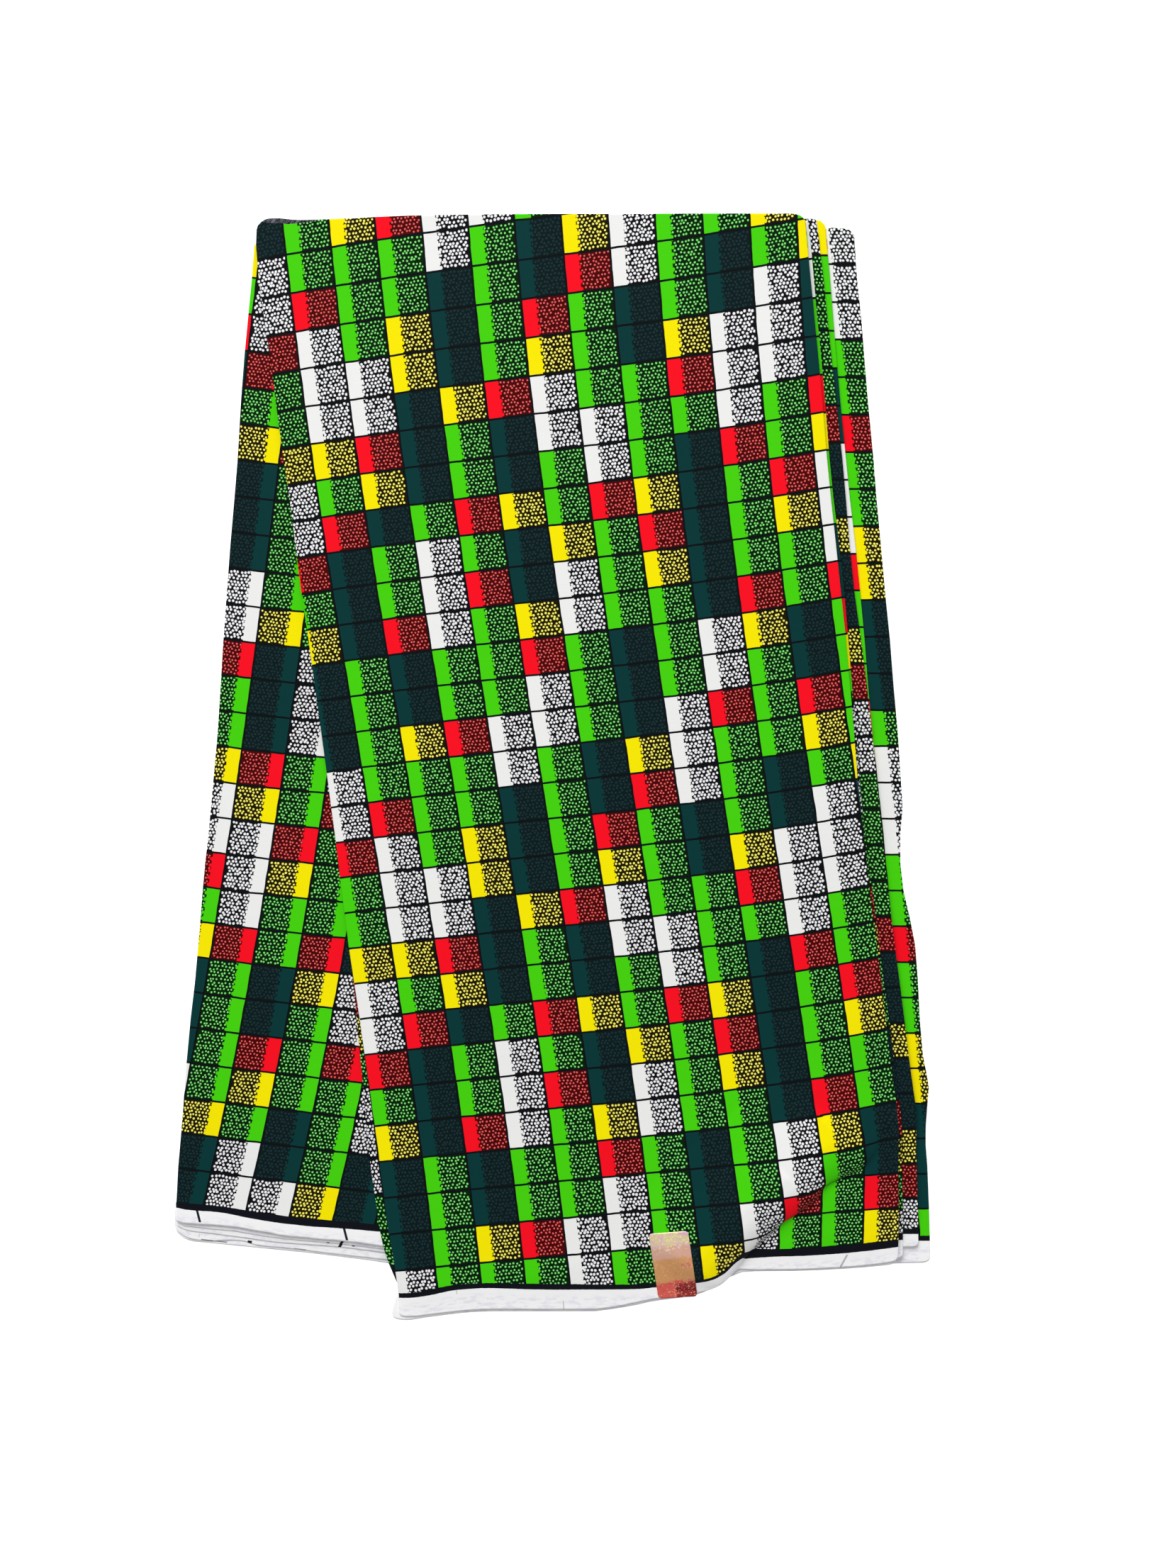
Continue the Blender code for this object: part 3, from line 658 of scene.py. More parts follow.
def printed_cotton(name, tick_at=0.0, tick_every=82.0, tick_strength=1.0, tick_slope=0.5, marks=()):
    """Wax-printed cotton: blocks with a solid band and packed dots in a dark net, a border line and a white selvedge."""
    t = Tree(name)
    c0, r0 = t.uv("print")
    d1, d2 = t.uv("edge")
    across, along = t.math("MULTIPLY", c0, PITCH_X), t.math("MULTIPLY", r0, PITCH_Y)
    place = t.vector(across, along)

    # The blocks are cut by hand, so their lines wander a little.
    wander = t.math("SUBTRACT", t.noise(place, 0.09, 2.0), 0.5)
    wander2 = t.math("SUBTRACT", t.noise(t.vector(along, across, 40.0), 0.10, 2.0), 0.5)
    c = t.math("ADD", c0, t.math("MULTIPLY", wander, 0.9 / PITCH_X))
    r = t.math("ADD", r0, t.math("MULTIPLY", wander2, 0.8 / PITCH_Y))
    i, j = t.math("FLOOR", c), t.math("FLOOR", r)
    u = t.math("MULTIPLY", t.math("SUBTRACT", c, i), PITCH_X)
    v = t.math("MULTIPLY", t.math("SUBTRACT", r, j), PITCH_Y)
    u_back = t.math("SUBTRACT", PITCH_X, u)
    v_near = t.math("MINIMUM", v, t.math("SUBTRACT", PITCH_Y, v))

    # The ink of the block, from the chart.
    wide, tall = len(CHART), len(CHART[0])
    ci = t.math("FLOORED_MODULO", i, float(wide))
    rj = t.math("FLOORED_MODULO", j, float(tall))
    codes = {k: (n + 0.5) / len(INKS) for n, k in enumerate(INKS)}
    cells = [codes[k] for column in CHART for k in column]
    index = t.math("ADD", t.math("ADD", t.math("MULTIPLY", ci, float(tall)), rj), 0.5)
    ink, part = None, 30
    for s in range(0, len(cells), part):
        ramp = t.steps(t.math("DIVIDE", t.math("SUBTRACT", index, float(s)), float(part), clamp=True),
                       [(q, q, q, 1.0) for q in cells[s:s + part]])
        ink = ramp if ink is None else t.mix(t.math("GREATER_THAN", index, float(s)), ink, ramp)
    solid, dot, rim, net = (
        t.steps(ink, [linear(INK_COLOURS[k][n]) for k in INKS]) for n in range(4)
    )

    # Dots, packed like pebbles and kept whole where they meet a line.
    more = t.steps(ink, [(DOT_MORE[k],) * 3 + (1.0,) for k in INKS])
    dots, joined, near = None, None, None
    for half in (0.0, 0.5):
        away, cu, cv, some = dot_places(t, i, j, u, v, half)
        size = t.math("ADD", t.math("ADD", 0.47, t.math("MULTIPLY", some, 0.13)), more)
        keep = t.math("MULTIPLY", t.math("GREATER_THAN", cu, 8.5), t.math("LESS_THAN", cu, PITCH_X - 0.8))
        keep = t.math("MULTIPLY", keep, t.math("MULTIPLY", t.math("GREATER_THAN", cv, 1.1), t.math("LESS_THAN", cv, PITCH_Y - 1.1)))
        one = t.math("MULTIPLY", t.step(t.math("SUBTRACT", away, size), 0.08, -0.08), keep)
        run = t.math("MULTIPLY", t.step(away, 1.0, 0.9), t.math("LESS_THAN", cu, 8.5))
        dots = one if dots is None else t.math("MAXIMUM", dots, one)
        joined = run if joined is None else t.math("MAXIMUM", joined, run)
        near = away if near is None else t.math("MINIMUM", near, away)

    # The solid band ends in a ragged row of dots that run together.
    joined = t.math("MULTIPLY", joined, t.math("LESS_THAN", u, 11.0))
    band = t.math("MAXIMUM", t.step(u, 7.66, 7.52), joined)
    band = t.math("MULTIPLY", band, t.step(v_near, 0.46, 0.60))
    band = t.math("MULTIPLY", band, t.step(u, 0.54, 0.70))

    speckle = t.noise(place, 1.9, 3.0, 0.6)
    solid = t.mix(t.step(speckle, 0.45, 0.85), solid, t.mix(0.08, solid, (0.0, 0.0, 0.0, 1.0)))
    dot_colour = t.mix(t.step(near, 0.16, 0.66), dot, rim)
    colour = t.mix(dots, net, dot_colour)
    on_line = t.math("MAXIMUM", t.step(v_near, 0.62, 0.48), t.math("MAXIMUM", t.step(u, 0.68, 0.54), t.step(u_back, 0.56, 0.42)))
    colour = t.mix(on_line, colour, linear(LINE))
    colour = t.mix(band, colour, solid)

    # Border line and selvedge.
    fray = t.math("MULTIPLY", t.math("SUBTRACT", t.noise(place, 0.5, 3.0), 0.5), 0.5)
    in_border = t.step(t.math("ADD", d1, fray), -0.08, 0.08)
    in_white = t.step(t.math("ADD", d2, t.math("MULTIPLY", fray, 0.6)), -0.08, 0.08)
    streak = t.noise(t.vector(t.math("MULTIPLY", across, 0.05), t.math("MULTIPLY", d2, 0.8), 3.0), 1.0, 4.0, 0.6)
    blot = t.noise(t.vector(across, along, 9.0), 0.16, 3.0, 0.55)
    white = t.mix(t.step(streak, 0.50, 0.80), linear(WHITE), linear((248, 248, 252)))
    fibre = t.noise(t.vector(t.math("MULTIPLY", across, 0.30), t.math("MULTIPLY", d2, 0.9), 7.0), 0.55, 4.0, 0.65)
    low = t.math("MULTIPLY", t.step(fibre, 0.47, 0.60), t.step(d2, 1.5, 6.0))
    white = t.mix(low, white, linear((238, 238, 246)))
    white = t.mix(t.step(blot, 0.56, 0.80), white, linear((249, 249, 251)))
    tick = t.math("ABSOLUTE", t.math("SUBTRACT", t.math("FLOORED_MODULO", t.math(
        "ADD", t.math("ADD", across, t.math("MULTIPLY", d2, tick_slope)), tick_every / 2 - tick_at), tick_every), tick_every / 2))
    tick = t.math("MULTIPLY", t.step(tick, 0.80, 0.62), t.math("MULTIPLY", t.step(d2, 6.6, 6.2), tick_strength))
    white = t.mix(tick, white, linear((30, 32, 44)))
    for left, foot, wide, high, slant, dark in marks:
        up = t.math("SUBTRACT", along, foot)
        over = t.math("ABSOLUTE", t.math("ADD", t.math("SUBTRACT", across, left), t.math("MULTIPLY", up, slant)))
        mark = t.math("MULTIPLY", t.step(over, wide + 0.15, wide - 0.15), t.step(t.math("ABSOLUTE", up), high + 0.15, high - 0.15))
        white = t.mix(t.math("MULTIPLY", mark, dark), white, linear((24, 24, 32)))
    # Painted sheen: grey slanted streaks on the dark strip at the top left fold (where d2 lies far below zero) stand in
    # for the fold's highlight.
    slant = t.noise(t.vector(t.math("ADD", t.math("MULTIPLY", across, 1.5), t.math("MULTIPLY", along, 1.1)),
                             t.math("MULTIPLY", along, 0.3), 6.0), 1.0, 3.0, 0.6)
    painted_sheen = t.math("MULTIPLY", t.step(slant, 0.42, 0.62), t.step(d2, -40.0, -50.0))
    colour = t.mix(in_border, colour, t.mix(painted_sheen, linear(BORDER_INK), linear((112, 112, 124))))
    colour = t.mix(in_white, colour, white)

    # Plain weave.
    thread = 2 * math.pi / 0.42
    warp = t.math("SINE", t.math("MULTIPLY", across, thread))
    weft = t.math("SINE", t.math("MULTIPLY", along, thread))
    weave = t.math("MULTIPLY", warp, weft)
    slub = t.noise(t.vector(t.math("MULTIPLY", across, 0.12), t.math("MULTIPLY", along, 2.4), 1.0), 1.0, 2.0)
    shade = t.math("ADD", t.math("MULTIPLY", weave, 0.012), t.math("MULTIPLY", t.math("SUBTRACT", slub, 0.5), 0.06))
    colour = t.mix(1.0, colour, t.vector(*(t.math("ADD", 1.0, shade),) * 3), "MULTIPLY")

    height = t.math("ADD", t.math("MULTIPLY", weave, 0.5), t.math("MULTIPLY", slub, 0.8))
    bump = t.node("ShaderNodeBump")
    bump.inputs["Strength"].default_value = 0.18
    bump.inputs["Distance"].default_value = 0.00008
    t.put(bump.inputs["Height"], height)
    s = t.shader
    t.put(s.inputs["Normal"], bump.outputs[0])
    t.put(s.inputs["Base Color"], colour)
    t.put(s.inputs["Roughness"], t.math("ADD", 0.62, t.math("MULTIPLY", speckle, 0.2)))
    s.inputs["Specular IOR Level"].default_value = 0.06
    s.inputs["Sheen Weight"].default_value = 0.015
    s.inputs["Sheen Roughness"].default_value = 0.45
    return t.material


def foil(name):
    """Blank holographic foil: straw and lilac at the top, then salmon, tan, coral, and deep red at one corner."""
    t = Tree(name)
    a, b = t.uv("print")  # across and down the label, 0 to 1
    place = t.vector(a, t.math("MULTIPLY", b, 1.75))
    broad = t.math("SUBTRACT", t.noise(place, 3.0, 2.0), 0.5)
    fine = t.math("SUBTRACT", t.noise(place, 26.0, 3.0, 0.6), 0.5)
    down = t.math("ADD", b, t.math("ADD", t.math("MULTIPLY", broad, 0.16), t.math("MULTIPLY", fine, 0.10)))
    down = t.math("ADD", down, t.math("MULTIPLY", t.math("SUBTRACT", a, 0.5), 0.05))
    colour = linear((228, 208, 164))
    for low, high, rgb in ((0.17, 0.22, (225, 174, 156)), (0.36, 0.41, (219, 158, 102)), (0.73, 0.77, (224, 94, 86))):
        colour = t.mix(t.step(down, low, high), colour, linear(rgb))
    lilac = t.noise(t.vector(a, t.math("MULTIPLY", b, 3.4), 5.0), 5.0, 2.0)
    lilac = t.math("MULTIPLY", t.step(t.math("ADD", lilac, t.math("MULTIPLY", fine, 0.25)), 0.53, 0.57), t.step(down, 0.30, 0.20))
    colour = t.mix(lilac, colour, linear((230, 184, 202)))
    warm = t.noise(t.vector(a, t.math("MULTIPLY", b, 1.75), 8.0), 4.0, 2.0)
    warm = t.math("MULTIPLY", t.step(t.math("ADD", warm, t.math("MULTIPLY", fine, 0.3)), 0.57, 0.61),
                  t.math("MULTIPLY", t.step(a, 0.46, 0.62), t.math("MULTIPLY", t.step(b, 0.36, 0.46), t.step(b, 0.80, 0.72))))
    colour = t.mix(t.math("MULTIPLY", warm, 0.85), colour, linear((214, 118, 112)))
    side = t.math("ADD", a, t.math("MULTIPLY", fine, 0.03))
    red = t.math("MULTIPLY", t.step(side, 0.475, 0.495), t.step(t.math("ADD", down, t.math("MULTIPLY", a, 0.16)), 0.88, 0.92))
    colour = t.mix(red, colour, linear((152, 44, 48)))
    dark = t.math("MULTIPLY", red, t.math("MULTIPLY", t.step(b, 0.84, 0.86), t.step(b, 0.92, 0.90)))
    colour = t.mix(dark, colour, linear((126, 26, 32)))
    grain = t.node("ShaderNodeTexVoronoi", voronoi_dimensions="2D", feature="F1")
    grain.inputs["Scale"].default_value = 40.0
    t.put(grain.inputs["Vector"], place)
    g = t.node("ShaderNodeSeparateColor")
    t.tree.links.new(grain.outputs["Color"], g.inputs[0])
    top = t.step(down, 0.34, 0.22)
    colour = t.mix(t.math("MULTIPLY", t.math("GREATER_THAN", g.outputs[0], 0.86), top), colour, linear((244, 238, 168)))
    colour = t.mix(t.math("MULTIPLY", t.math("GREATER_THAN", g.outputs[1], 0.90), t.step(down, 0.18, 0.30)), colour,
                   linear((228, 178, 128)))
    colour = t.mix(t.math("MULTIPLY", t.math("GREATER_THAN", g.outputs[2], 0.88), t.step(down, 0.70, 0.78)), colour,
                   linear((206, 84, 76)))
    s = t.shader
    t.put(s.inputs["Base Color"], colour)
    t.put(s.inputs["Roughness"], t.math("ADD", 0.34, t.math("MULTIPLY", g.outputs[0], 0.12)))
    s.inputs["Metallic"].default_value = 0.15
    s.inputs["Specular IOR Level"].default_value = 0.35
    bump = t.node("ShaderNodeBump")
    bump.inputs["Strength"].default_value = 0.2
    bump.inputs["Distance"].default_value = 0.0002
    t.put(bump.inputs["Height"], t.noise(place, 7.0, 3.0))
    t.put(s.inputs["Normal"], bump.outputs[0])
    return t.material


COTTON = printed_cotton("printed_cotton", 40.0, 260.0, 0.0, marks=[
    (poly(FLAP_C if past else FRONT_C, x, y) * PITCH_X, poly(FLAP_R if past else FRONT_R, x, y) * PITCH_Y, *shape)
    for past, x, y, *shape in FRONT_MARKS])
COTTON_UNDER = printed_cotton("printed_cotton_under", 40.0, 260.0, 0.0)
COTTON_LEFT = printed_cotton("printed_cotton_left", 20.5, 82.5, 1.0)
COTTON_RIGHT = printed_cotton("printed_cotton_right", 40.0, 260.0, 0.0)
SELVEDGE = printed_cotton("selvedge", 40.0, 260.0, 0.0, marks=[
    ((12.0 - poly(LEFT_C, x, y) + 0.31 * (n + 1)) * PITCH_X, (poly(LEFT_R, x, y) + 30.0) * PITCH_Y, *shape)
    for n, x, y, *shape in MARKS])
HIDDEN = printed_cotton("hidden_layers", 40.0, 260.0, 0.0)
FOIL = foil("foil")


def put_in(piece, slot, *nodes):
    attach(piece, "root")
    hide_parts(*nodes)


# ---------------------------------------------------------------- the front stretch

def front_height(x, y):
    """Top of the front cloth without its ripple."""
    relief = 0.11 * rolls(x, y, 46.0, 1.7) + soft_folds(x, y, SOFT["front"])
    relief = np.maximum(relief, -0.55)
    edge = x - at("cut_edge", y)
    foot = y - line_at(FRONT_FOOT, x)
    settle = 0.55 * (1 - ease(edge / 10.0)) + 0.70 * (1 - ease(foot / 18.0))
    return under_front(x, y) + STEP + WALL - 0.05 + np.maximum(relief - np.minimum(settle, 1.0), -1.05)


def front_print(x, y, body):
    """Block coordinates: the body's and, past the ripple, the flap's."""
    c = poly(FRONT_C, x, y) * body + poly(FLAP_C, x, y) * (1 - body)
    r = poly(FRONT_R, x, y) * body + poly(FLAP_R, x, y) * (1 - body)
    return c, r


def front_edge(x, y, body, past=0.0):
    rows = {k: np.interp(x, BORDERS[:, 0], BORDERS[:, n]) for n, k in enumerate(BORDER) if n}
    d1 = (rows["body_top"] - y) * body + (rows["flap_top"] - y) * (1 - body)
    d2 = (rows["body_foot"] - y) * body + (rows["flap_foot"] - y) * (1 - body)
    return d1 + past, d2 + past


cols = stations(spread(300.0, (1.6, 0.8), (7.6, 2.0), (166.0, 3.6), (300.0, 1.4)), None, fold_steps(5.0, 10.0))
rows = stations(spread(580.0, (2.4, 0.8), (108.0, 1.12), (150.0, 2.2), (580.0, 4.0)), None, fold_steps(5.0, 10.0))
x, y, drop, xu, yu = lay(
    cols, rows, lambda v: at("cut_edge", v), lambda v: at("front_fold", v),
    lambda v: line_at(FRONT_FOOT, v), lambda v: line_at(FRONT_TOP, v))
far, nx, ny, high, lean, fade = ripple_place(x, y)
move = np.interp(far, RIPPLE_SECTION[:, 0], RIPPLE_SECTION[:, 1])
share = np.interp(far, RIPPLE_SECTION[:, 0], RIPPLE_SECTION[:, 2])
# The table's corners are eased over a short way, so that the ripple is round.
for d in (-0.8, 0.8):
    move = move + np.interp(far + d, RIPPLE_SECTION[:, 0], RIPPLE_SECTION[:, 1])
    share = share + np.interp(far + d, RIPPLE_SECTION[:, 0], RIPPLE_SECTION[:, 2])
move, share = move / 3, share / 3
move = move * lean * fade
z = front_height(x, y) + share * high * fade
x, y = x + nx * move, y + ny * move
xu, yu = xu + nx * move, yu + ny * move
# More cloth than shows runs down into the crease: the print is drawn together there.
body = 1 - (1 - np.clip((far + 0.4) / 7.4, 0.0, 1.0)) ** 2.2
c, r = front_print(xu, yu, body)
d1, d2 = front_edge(xu, yu, body)
head = (yu > 200) & (xu < -121.0)
d1 = np.where(head, yu - line_at(HEAD_BAND, xu), d1)
d2 = np.where(head, -60.0, d2)
front = shell("front_cloth", np.stack([x, y, z - drop], 2), c, r, d1, d2, COTTON)
put_in(front, "printed_cotton", "front_stretch")


# ---------------------------------------------------------------- the lower half of the doubled front

def under_left(v):
    return line_at(UNDER_LEFT, v, key=1)


cols = stations(spread(300.0, (2.0, 1.0), (12.0, 2.5), (300.0, 8.0)), None, fold_steps(5.0, 8.0))
rows = stations(spread(580.0, (2.0, 1.0), (20.0, 3.0), (580.0, 8.0)), None, fold_steps(5.0, 8.0))
x, y, drop, xu, yu = lay(
    cols, rows, under_left, lambda v: at("front_fold", v) - 0.8,
    lambda v: line_at(UNDER_FOOT, v), lambda v: line_at(FRONT_TOP, v) - 1.8)
settle = 0.45 * (1 - ease((x - under_left(y)) / 10.0))
z = under_front(x, y) + WALL - 0.05 + 0.10 * rolls(x, y, 40.0, 5.1) - settle - 0.10
shore = (xu - under_left(yu)) / PITCH_X
c = shore + 10.46
r = poly(FRONT_R, xu, yu) + 0.08 + 7.0
body = ease((112.0 - xu) / 12.0)
d1, d2 = front_edge(xu, yu, body, -2.6)
d1 = np.where((yu < -262.0) & (xu < -60), 3.0, d1)
d2 = np.where((yu < -266.0) & (xu < -60), 1.0, d2)
front_under = shell("front_under_cloth", np.stack([x, y, z - drop], 2), c, r, d1, d2, COTTON_UNDER)
put_in(front_under, "printed_cotton_under", "front_under_stretch")


# ---------------------------------------------------------------- the stretch that fans out at the left

cols = stations(spread(110.0, (110.0, 3.0)), fold_steps(5.0, 14.0), None)
rows = stations(spread(530.0, (2.0, 1.0), (530.0, 3.8)), None, fold_steps(5.0, 12.0))
x, y, drop, xu, yu = lay(
    cols, rows, lambda v: at("left_fold", v), lambda v: at("cut_edge", v) + TUCK_LEFT - 1.0,
    lambda v: line_at(LEFT_FOOT, v), lambda v: line_at(LEFT_TOP, v))
relief = 0.10 * rolls(x, y, 38.0, 9.3) + soft_folds(x, y, SOFT["left"])
under = ease((x - at("cut_edge", y) + 6) / 8.0)  # flat where the front lies on it
z = STACK_TOP + 0.3 + WALL - 0.05 + np.minimum(relief, 0.6) * (1 - under)
c = 12.0 - poly(LEFT_C, xu, yu)
r = poly(LEFT_R, xu, yu) + 30.0
d1 = line_at(LEFT_BORDER_TOP, xu) - yu
d2 = line_at(LEFT_BORDER_FOOT, xu) - yu
left = shell("left_cloth", np.stack([x, y, z - drop], 2), c, r, d1, d2, COTTON_LEFT)
put_in(left, "printed_cotton_left", "left_stretch")

for n, (name, node, top_z, foot) in enumerate(SELVEDGE_LAYERS):
    cols = stations(spread(130.0, (1.5, 0.75), (130.0, 3.0)))
    rows = stations(spread(40.0, (1.5, 0.75), (12.0, 1.5), (40.0, 5.0)))
    first = foot[0][0]
    x, y, drop, xu, yu = lay(
        cols, rows, lambda v: first + 2.4 * ease((v + 242.0) / 20.0), lambda v: -73.5 + 0.0 * v,
        lambda v: line_at(foot, v), lambda v: -216.0 + 0.0 * v)
    from_foot = y - line_at(foot, x)
    z = top_z + 0.05 * rolls(x, y, 30.0, 20.0 + n) - 0.12 * (1 - ease(from_foot / 6.0))
    c = 12.0 - poly(LEFT_C, xu, yu) + 0.31 * (n + 1)
    r = poly(LEFT_R, xu, yu) + 30.0
    d2 = 14.0 - from_foot
    piece = shell(name, np.stack([x, y, z], 2), c, r, d2 + 3.0, d2, SELVEDGE, 0.30)
    put_in(piece, "selvedge", node)


# ---------------------------------------------------------------- the folds that fan out at the right

RIGHT_COLUMN = np.array([(288, 137.5), (-21.5, 176.8), (-250, 200.7)])  # y, x of a line of the print
for n, (fold, (node, top_z, top, foot, border_top, border_foot)) in enumerate(RIGHT.items()):
    cols = stations(spread(20.0, (20.0, 2.5)), None, fold_steps(4.2, 11.0))
    rows = stations(spread(550.0, (2.0, 1.0), (550.0, 2.9)), None, fold_steps(4.2, 9.0))
    x, y, drop, xu, yu = lay(
        cols, rows, lambda v: at("front_fold", v) - TUCK_RIGHT + 1.0, lambda v: at(fold, v),
        lambda v: line_at(foot, v), lambda v: line_at(top, v))
    relief = 0.0
    if fold == "outer_fold":
        relief = np.clip(0.10 * rolls(x, y, 26.0, 14.0) + soft_folds(x, y, SOFT["right"]), -0.3, 0.4)
        relief = relief * ease((x - at("lower_fold", y) - 1.0) / 6.0) * ease((y - border_foot) / 40.0)
    low_end = border_foot - yu
    if fold != "outer_fold":
        relief = relief - (0.75 if fold == "lower_fold" else 1.1) * ease((low_end + 46.0) / 50.0)  # the corners drop a little at the foot
    z = top_z - 0.05 + relief
    ref = np.interp(yu, RIGHT_COLUMN[::-1, 0], RIGHT_COLUMN[::-1, 1])
    edge_gap = at(fold, yu) - xu
    r_mid = (275.6 - yu) / PITCH_Y + 1
    if fold == "outer_fold":
        c, r = (xu - ref) / 24.0 + 2.0, (291.0 - yu) / 19.5
    elif fold == "lower_fold":
        c, r = 9.22 - edge_gap / PITCH_X, r_mid + 3.0
    elif fold == "middle_fold":
        c, r = 4.84 - edge_gap / PITCH_X, r_mid + 5.0
    else:
        c, r = 10.20 - edge_gap / PITCH_X + 0.4 * ease((60.0 - yu) / 30.0), poly(FRONT_R, xu, yu) + 2.0
    d1, d2 = border_top - yu, border_foot - yu
    piece = shell(node.replace("stretch", "cloth"), np.stack([x, y, z - drop], 2), c, r, d1 + 0 * c, d2 + 0 * c,
                  COTTON_RIGHT)
    put_in(piece, "printed_cotton_right", node)


# ---------------------------------------------------------------- the hidden layers

def even(points, spacing):
    p = np.array(points + points[:1], float)
    far = np.r_[0, np.cumsum(np.hypot(*np.diff(p, axis=0).T))]
    s = np.linspace(0, far[-1], int(far[-1] / spacing) + 1)[:-1]
    return np.c_[np.interp(s, far, p[:, 0]), np.interp(s, far, p[:, 1])]


def outward(ring):
    n = np.roll(ring, -1, 0) - np.roll(ring, 1, 0)
    n = np.c_[n[:, 1], -n[:, 0]]
    return n / np.maximum(np.hypot(n[:, 0], n[:, 1]), 1e-9)[:, None]


def fold_side(column, top, foot, shift):
    ys = np.linspace(top, foot, 60)
    return [(float(a), float(b)) for a, b in zip(at(column, ys) + shift, ys)]


LEFT_SIDE = fold_side("left_fold", 276, -240, 1.0)
RIGHT_SIDE = fold_side("outer_fold", -256, 278, -1.0)
STACK_FOOT = [(-88.4, -268.6), (-86.2, -284.0), (-86.6, -291.4), (-84.6, -294.0), (-80.0, -294.6), (-70.0, -293.2),
              (-54.0, -291.0), (-38.0, -289.7), (22.0, -289.1), (32.0, -288.0), (54.0, -283.6), (78.0, -280.6),
              (91.0, -273.0), (100.0, -266.9), (108.0, -266.2), (150.0, -265.0), (188.0, -263.4), (202.6, -262.8),
              (205.6, -260.6)]
STACK_HEAD = [(156.8, 284.4), (154.6, 286.4), (136.0, 288.2), (118.0, 290.6), (0.0, 291.2), (-90.0, 290.6),
              (-146.0, 289.4), (-150.0, 288.0), (-152.6, 284.6)]
LOW_RING = LEFT_SIDE + [(-206.6, -245.4), (-205.2, -249.6), (-202.4, -252.4), (-198.0, -253.6), (-178.5, -255.2),
                        (-151.8, -258.0), (-117.0, -261.9), (-92.2, -265.4)] + STACK_FOOT + RIGHT_SIDE + STACK_HEAD
HIGH_RING = [p for p in LEFT_SIDE if p[1] > -214] + [(-69.9, -215.4), (-69.9, -262.4), (-84.0, -268.0)] + STACK_FOOT[1:] \
    + RIGHT_SIDE + STACK_HEAD
CORE_RING = fold_side("cut_edge", 276, -236, TUCK_LEFT + 1.2) + [
    (-62.0, -260.0), (-60.0, -284.0), (30.0, -284.0), (54.0, -280.6), (76.0, -277.6), (90.0, -270.8), (102.0, -263.0),
    (164.9, -261.2)] + fold_side("front_fold", -244, 280, -TUCK_RIGHT - 1.2) + [
    (107.0, 290.2), (0.0, 290.8), (-123.0, 289.0)]


def layered(ring, low, high, layers, seed):
    """A closed block of folded layers: each one rounds out to the ring, no two alike."""
    ring = even(ring, 3.2)
    push = outward(ring)
    count = len(ring)
    verts, block, edge, smooth, faces = [], [], [], [], []
    high = high(ring[:, 0], ring[:, 1]) if callable(high) else np.full(count, float(high))
    white = (ring[:, 1] < -235) & (push[:, 1] < -0.3) | (ring[:, 1] < -246)
    head = (ring[:, 1] > 262) & (push[:, 1] > 0.5)
    profile = [(0.0, 1.0), (0.12, 0.45), (0.32, 0.10), (0.55, 0.0), (0.78, 0.16), (0.93, 0.52)]
    total = 0
    for k in range(layers):
        wave = np.array([noise.noise(Vector((a / 34.0, b / 34.0, seed + k * 3.1))) for a, b in ring])
        long = np.array([noise.noise(Vector((a / 160.0, b / 160.0, seed + k * 1.7 + 50))) for a, b in ring])
        into = 0.55 + 0.9 * (0.5 + 0.5 * math.sin(k * 2.4 + seed)) + 0.8 * wave + 1.1 * long
        into = np.clip(into, 0.0, 2.6)
        for share, deep in profile:
            z = low + (high - low) * (k + share) / layers
            p = ring - push * (into + deep * 0.45)[:, None]
            verts.append(np.c_[p, z])
            drift = share * 0.03
            c = np.where(head, ring[:, 0] / PITCH_X + 40.0, (k * 5.37 + seed) % 12 + 0.2 + drift + 0.5 * long)
            r = np.where(head, 20.3 + 0.02 * k + drift, (291.0 - ring[:, 1]) / PITCH_Y + k * 1.7)
            block.append(np.c_[c, r])
            edge.append(np.c_[np.where(white, 9.0, -9.0), np.where(white, 4.0 + 2.0 * share, -9.0)])
            total += 1
    top = ring - push * 1.6
    verts.append(np.c_[top, high])
    block.append(np.c_[top[:, 0] / PITCH_X, -top[:, 1] / PITCH_Y])
    edge.append(np.full((count, 2), -9.0))
    total += 1
    verts, block, edge = np.concatenate(verts), np.concatenate(block), np.concatenate(edge)
    i = np.arange(count)
    j = np.roll(i, -1)
    for k in range(total - 1):
        faces += np.stack([i + k * count, j + k * count, j + (k + 1) * count, i + (k + 1) * count], 1).tolist()
        smooth += [True] * count
    # Caps on their own vertices, so that the print lies flat on them.
    base = len(verts)
    first, last = verts[:count], verts[(total - 1) * count:total * count]
    verts = np.concatenate([verts, first, last])
    cap = np.concatenate([first, last])
    block = np.concatenate([block, np.c_[cap[:, 0] / PITCH_X + 6.0, 8.0 - cap[:, 1] / PITCH_Y]])
    edge = np.concatenate([edge, np.c_[-252.0 - cap[:, 1], -255.0 - cap[:, 1]]])
    faces.append(list(range(base + count - 1, base - 1, -1)))
    faces.append(list(range(base + count, base + 2 * count)))
    smooth += [False, False]
    return verts, faces, smooth, block, edge


parts = [
    layered(LOW_RING, 0.0, LEDGE, 6, 2.0),
    layered(HIGH_RING, LEDGE + 0.02, STACK_TOP, 7, 31.0),
    layered(CORE_RING, STACK_TOP + 0.02, lambda a, b: under_front(a, b) - 0.45, 9, 63.0),
]
verts, faces, smooth, block, edge = [], [], [], [], []
base = 0
for v, f, s, b, e in parts:
    verts.append(v)
    faces += [[k + base for k in face] for face in f]
    smooth += s
    block.append(b)
    edge.append(e)
    base += len(v)
hidden = mesh_object("hidden_layers_cloth", np.concatenate(verts), faces, smooth,
                     {"print": np.concatenate(block), "edge": np.concatenate(edge)}, HIDDEN)
put_in(hidden, "hidden_layers", "hidden_stack")


# ---------------------------------------------------------------- the blank foil label

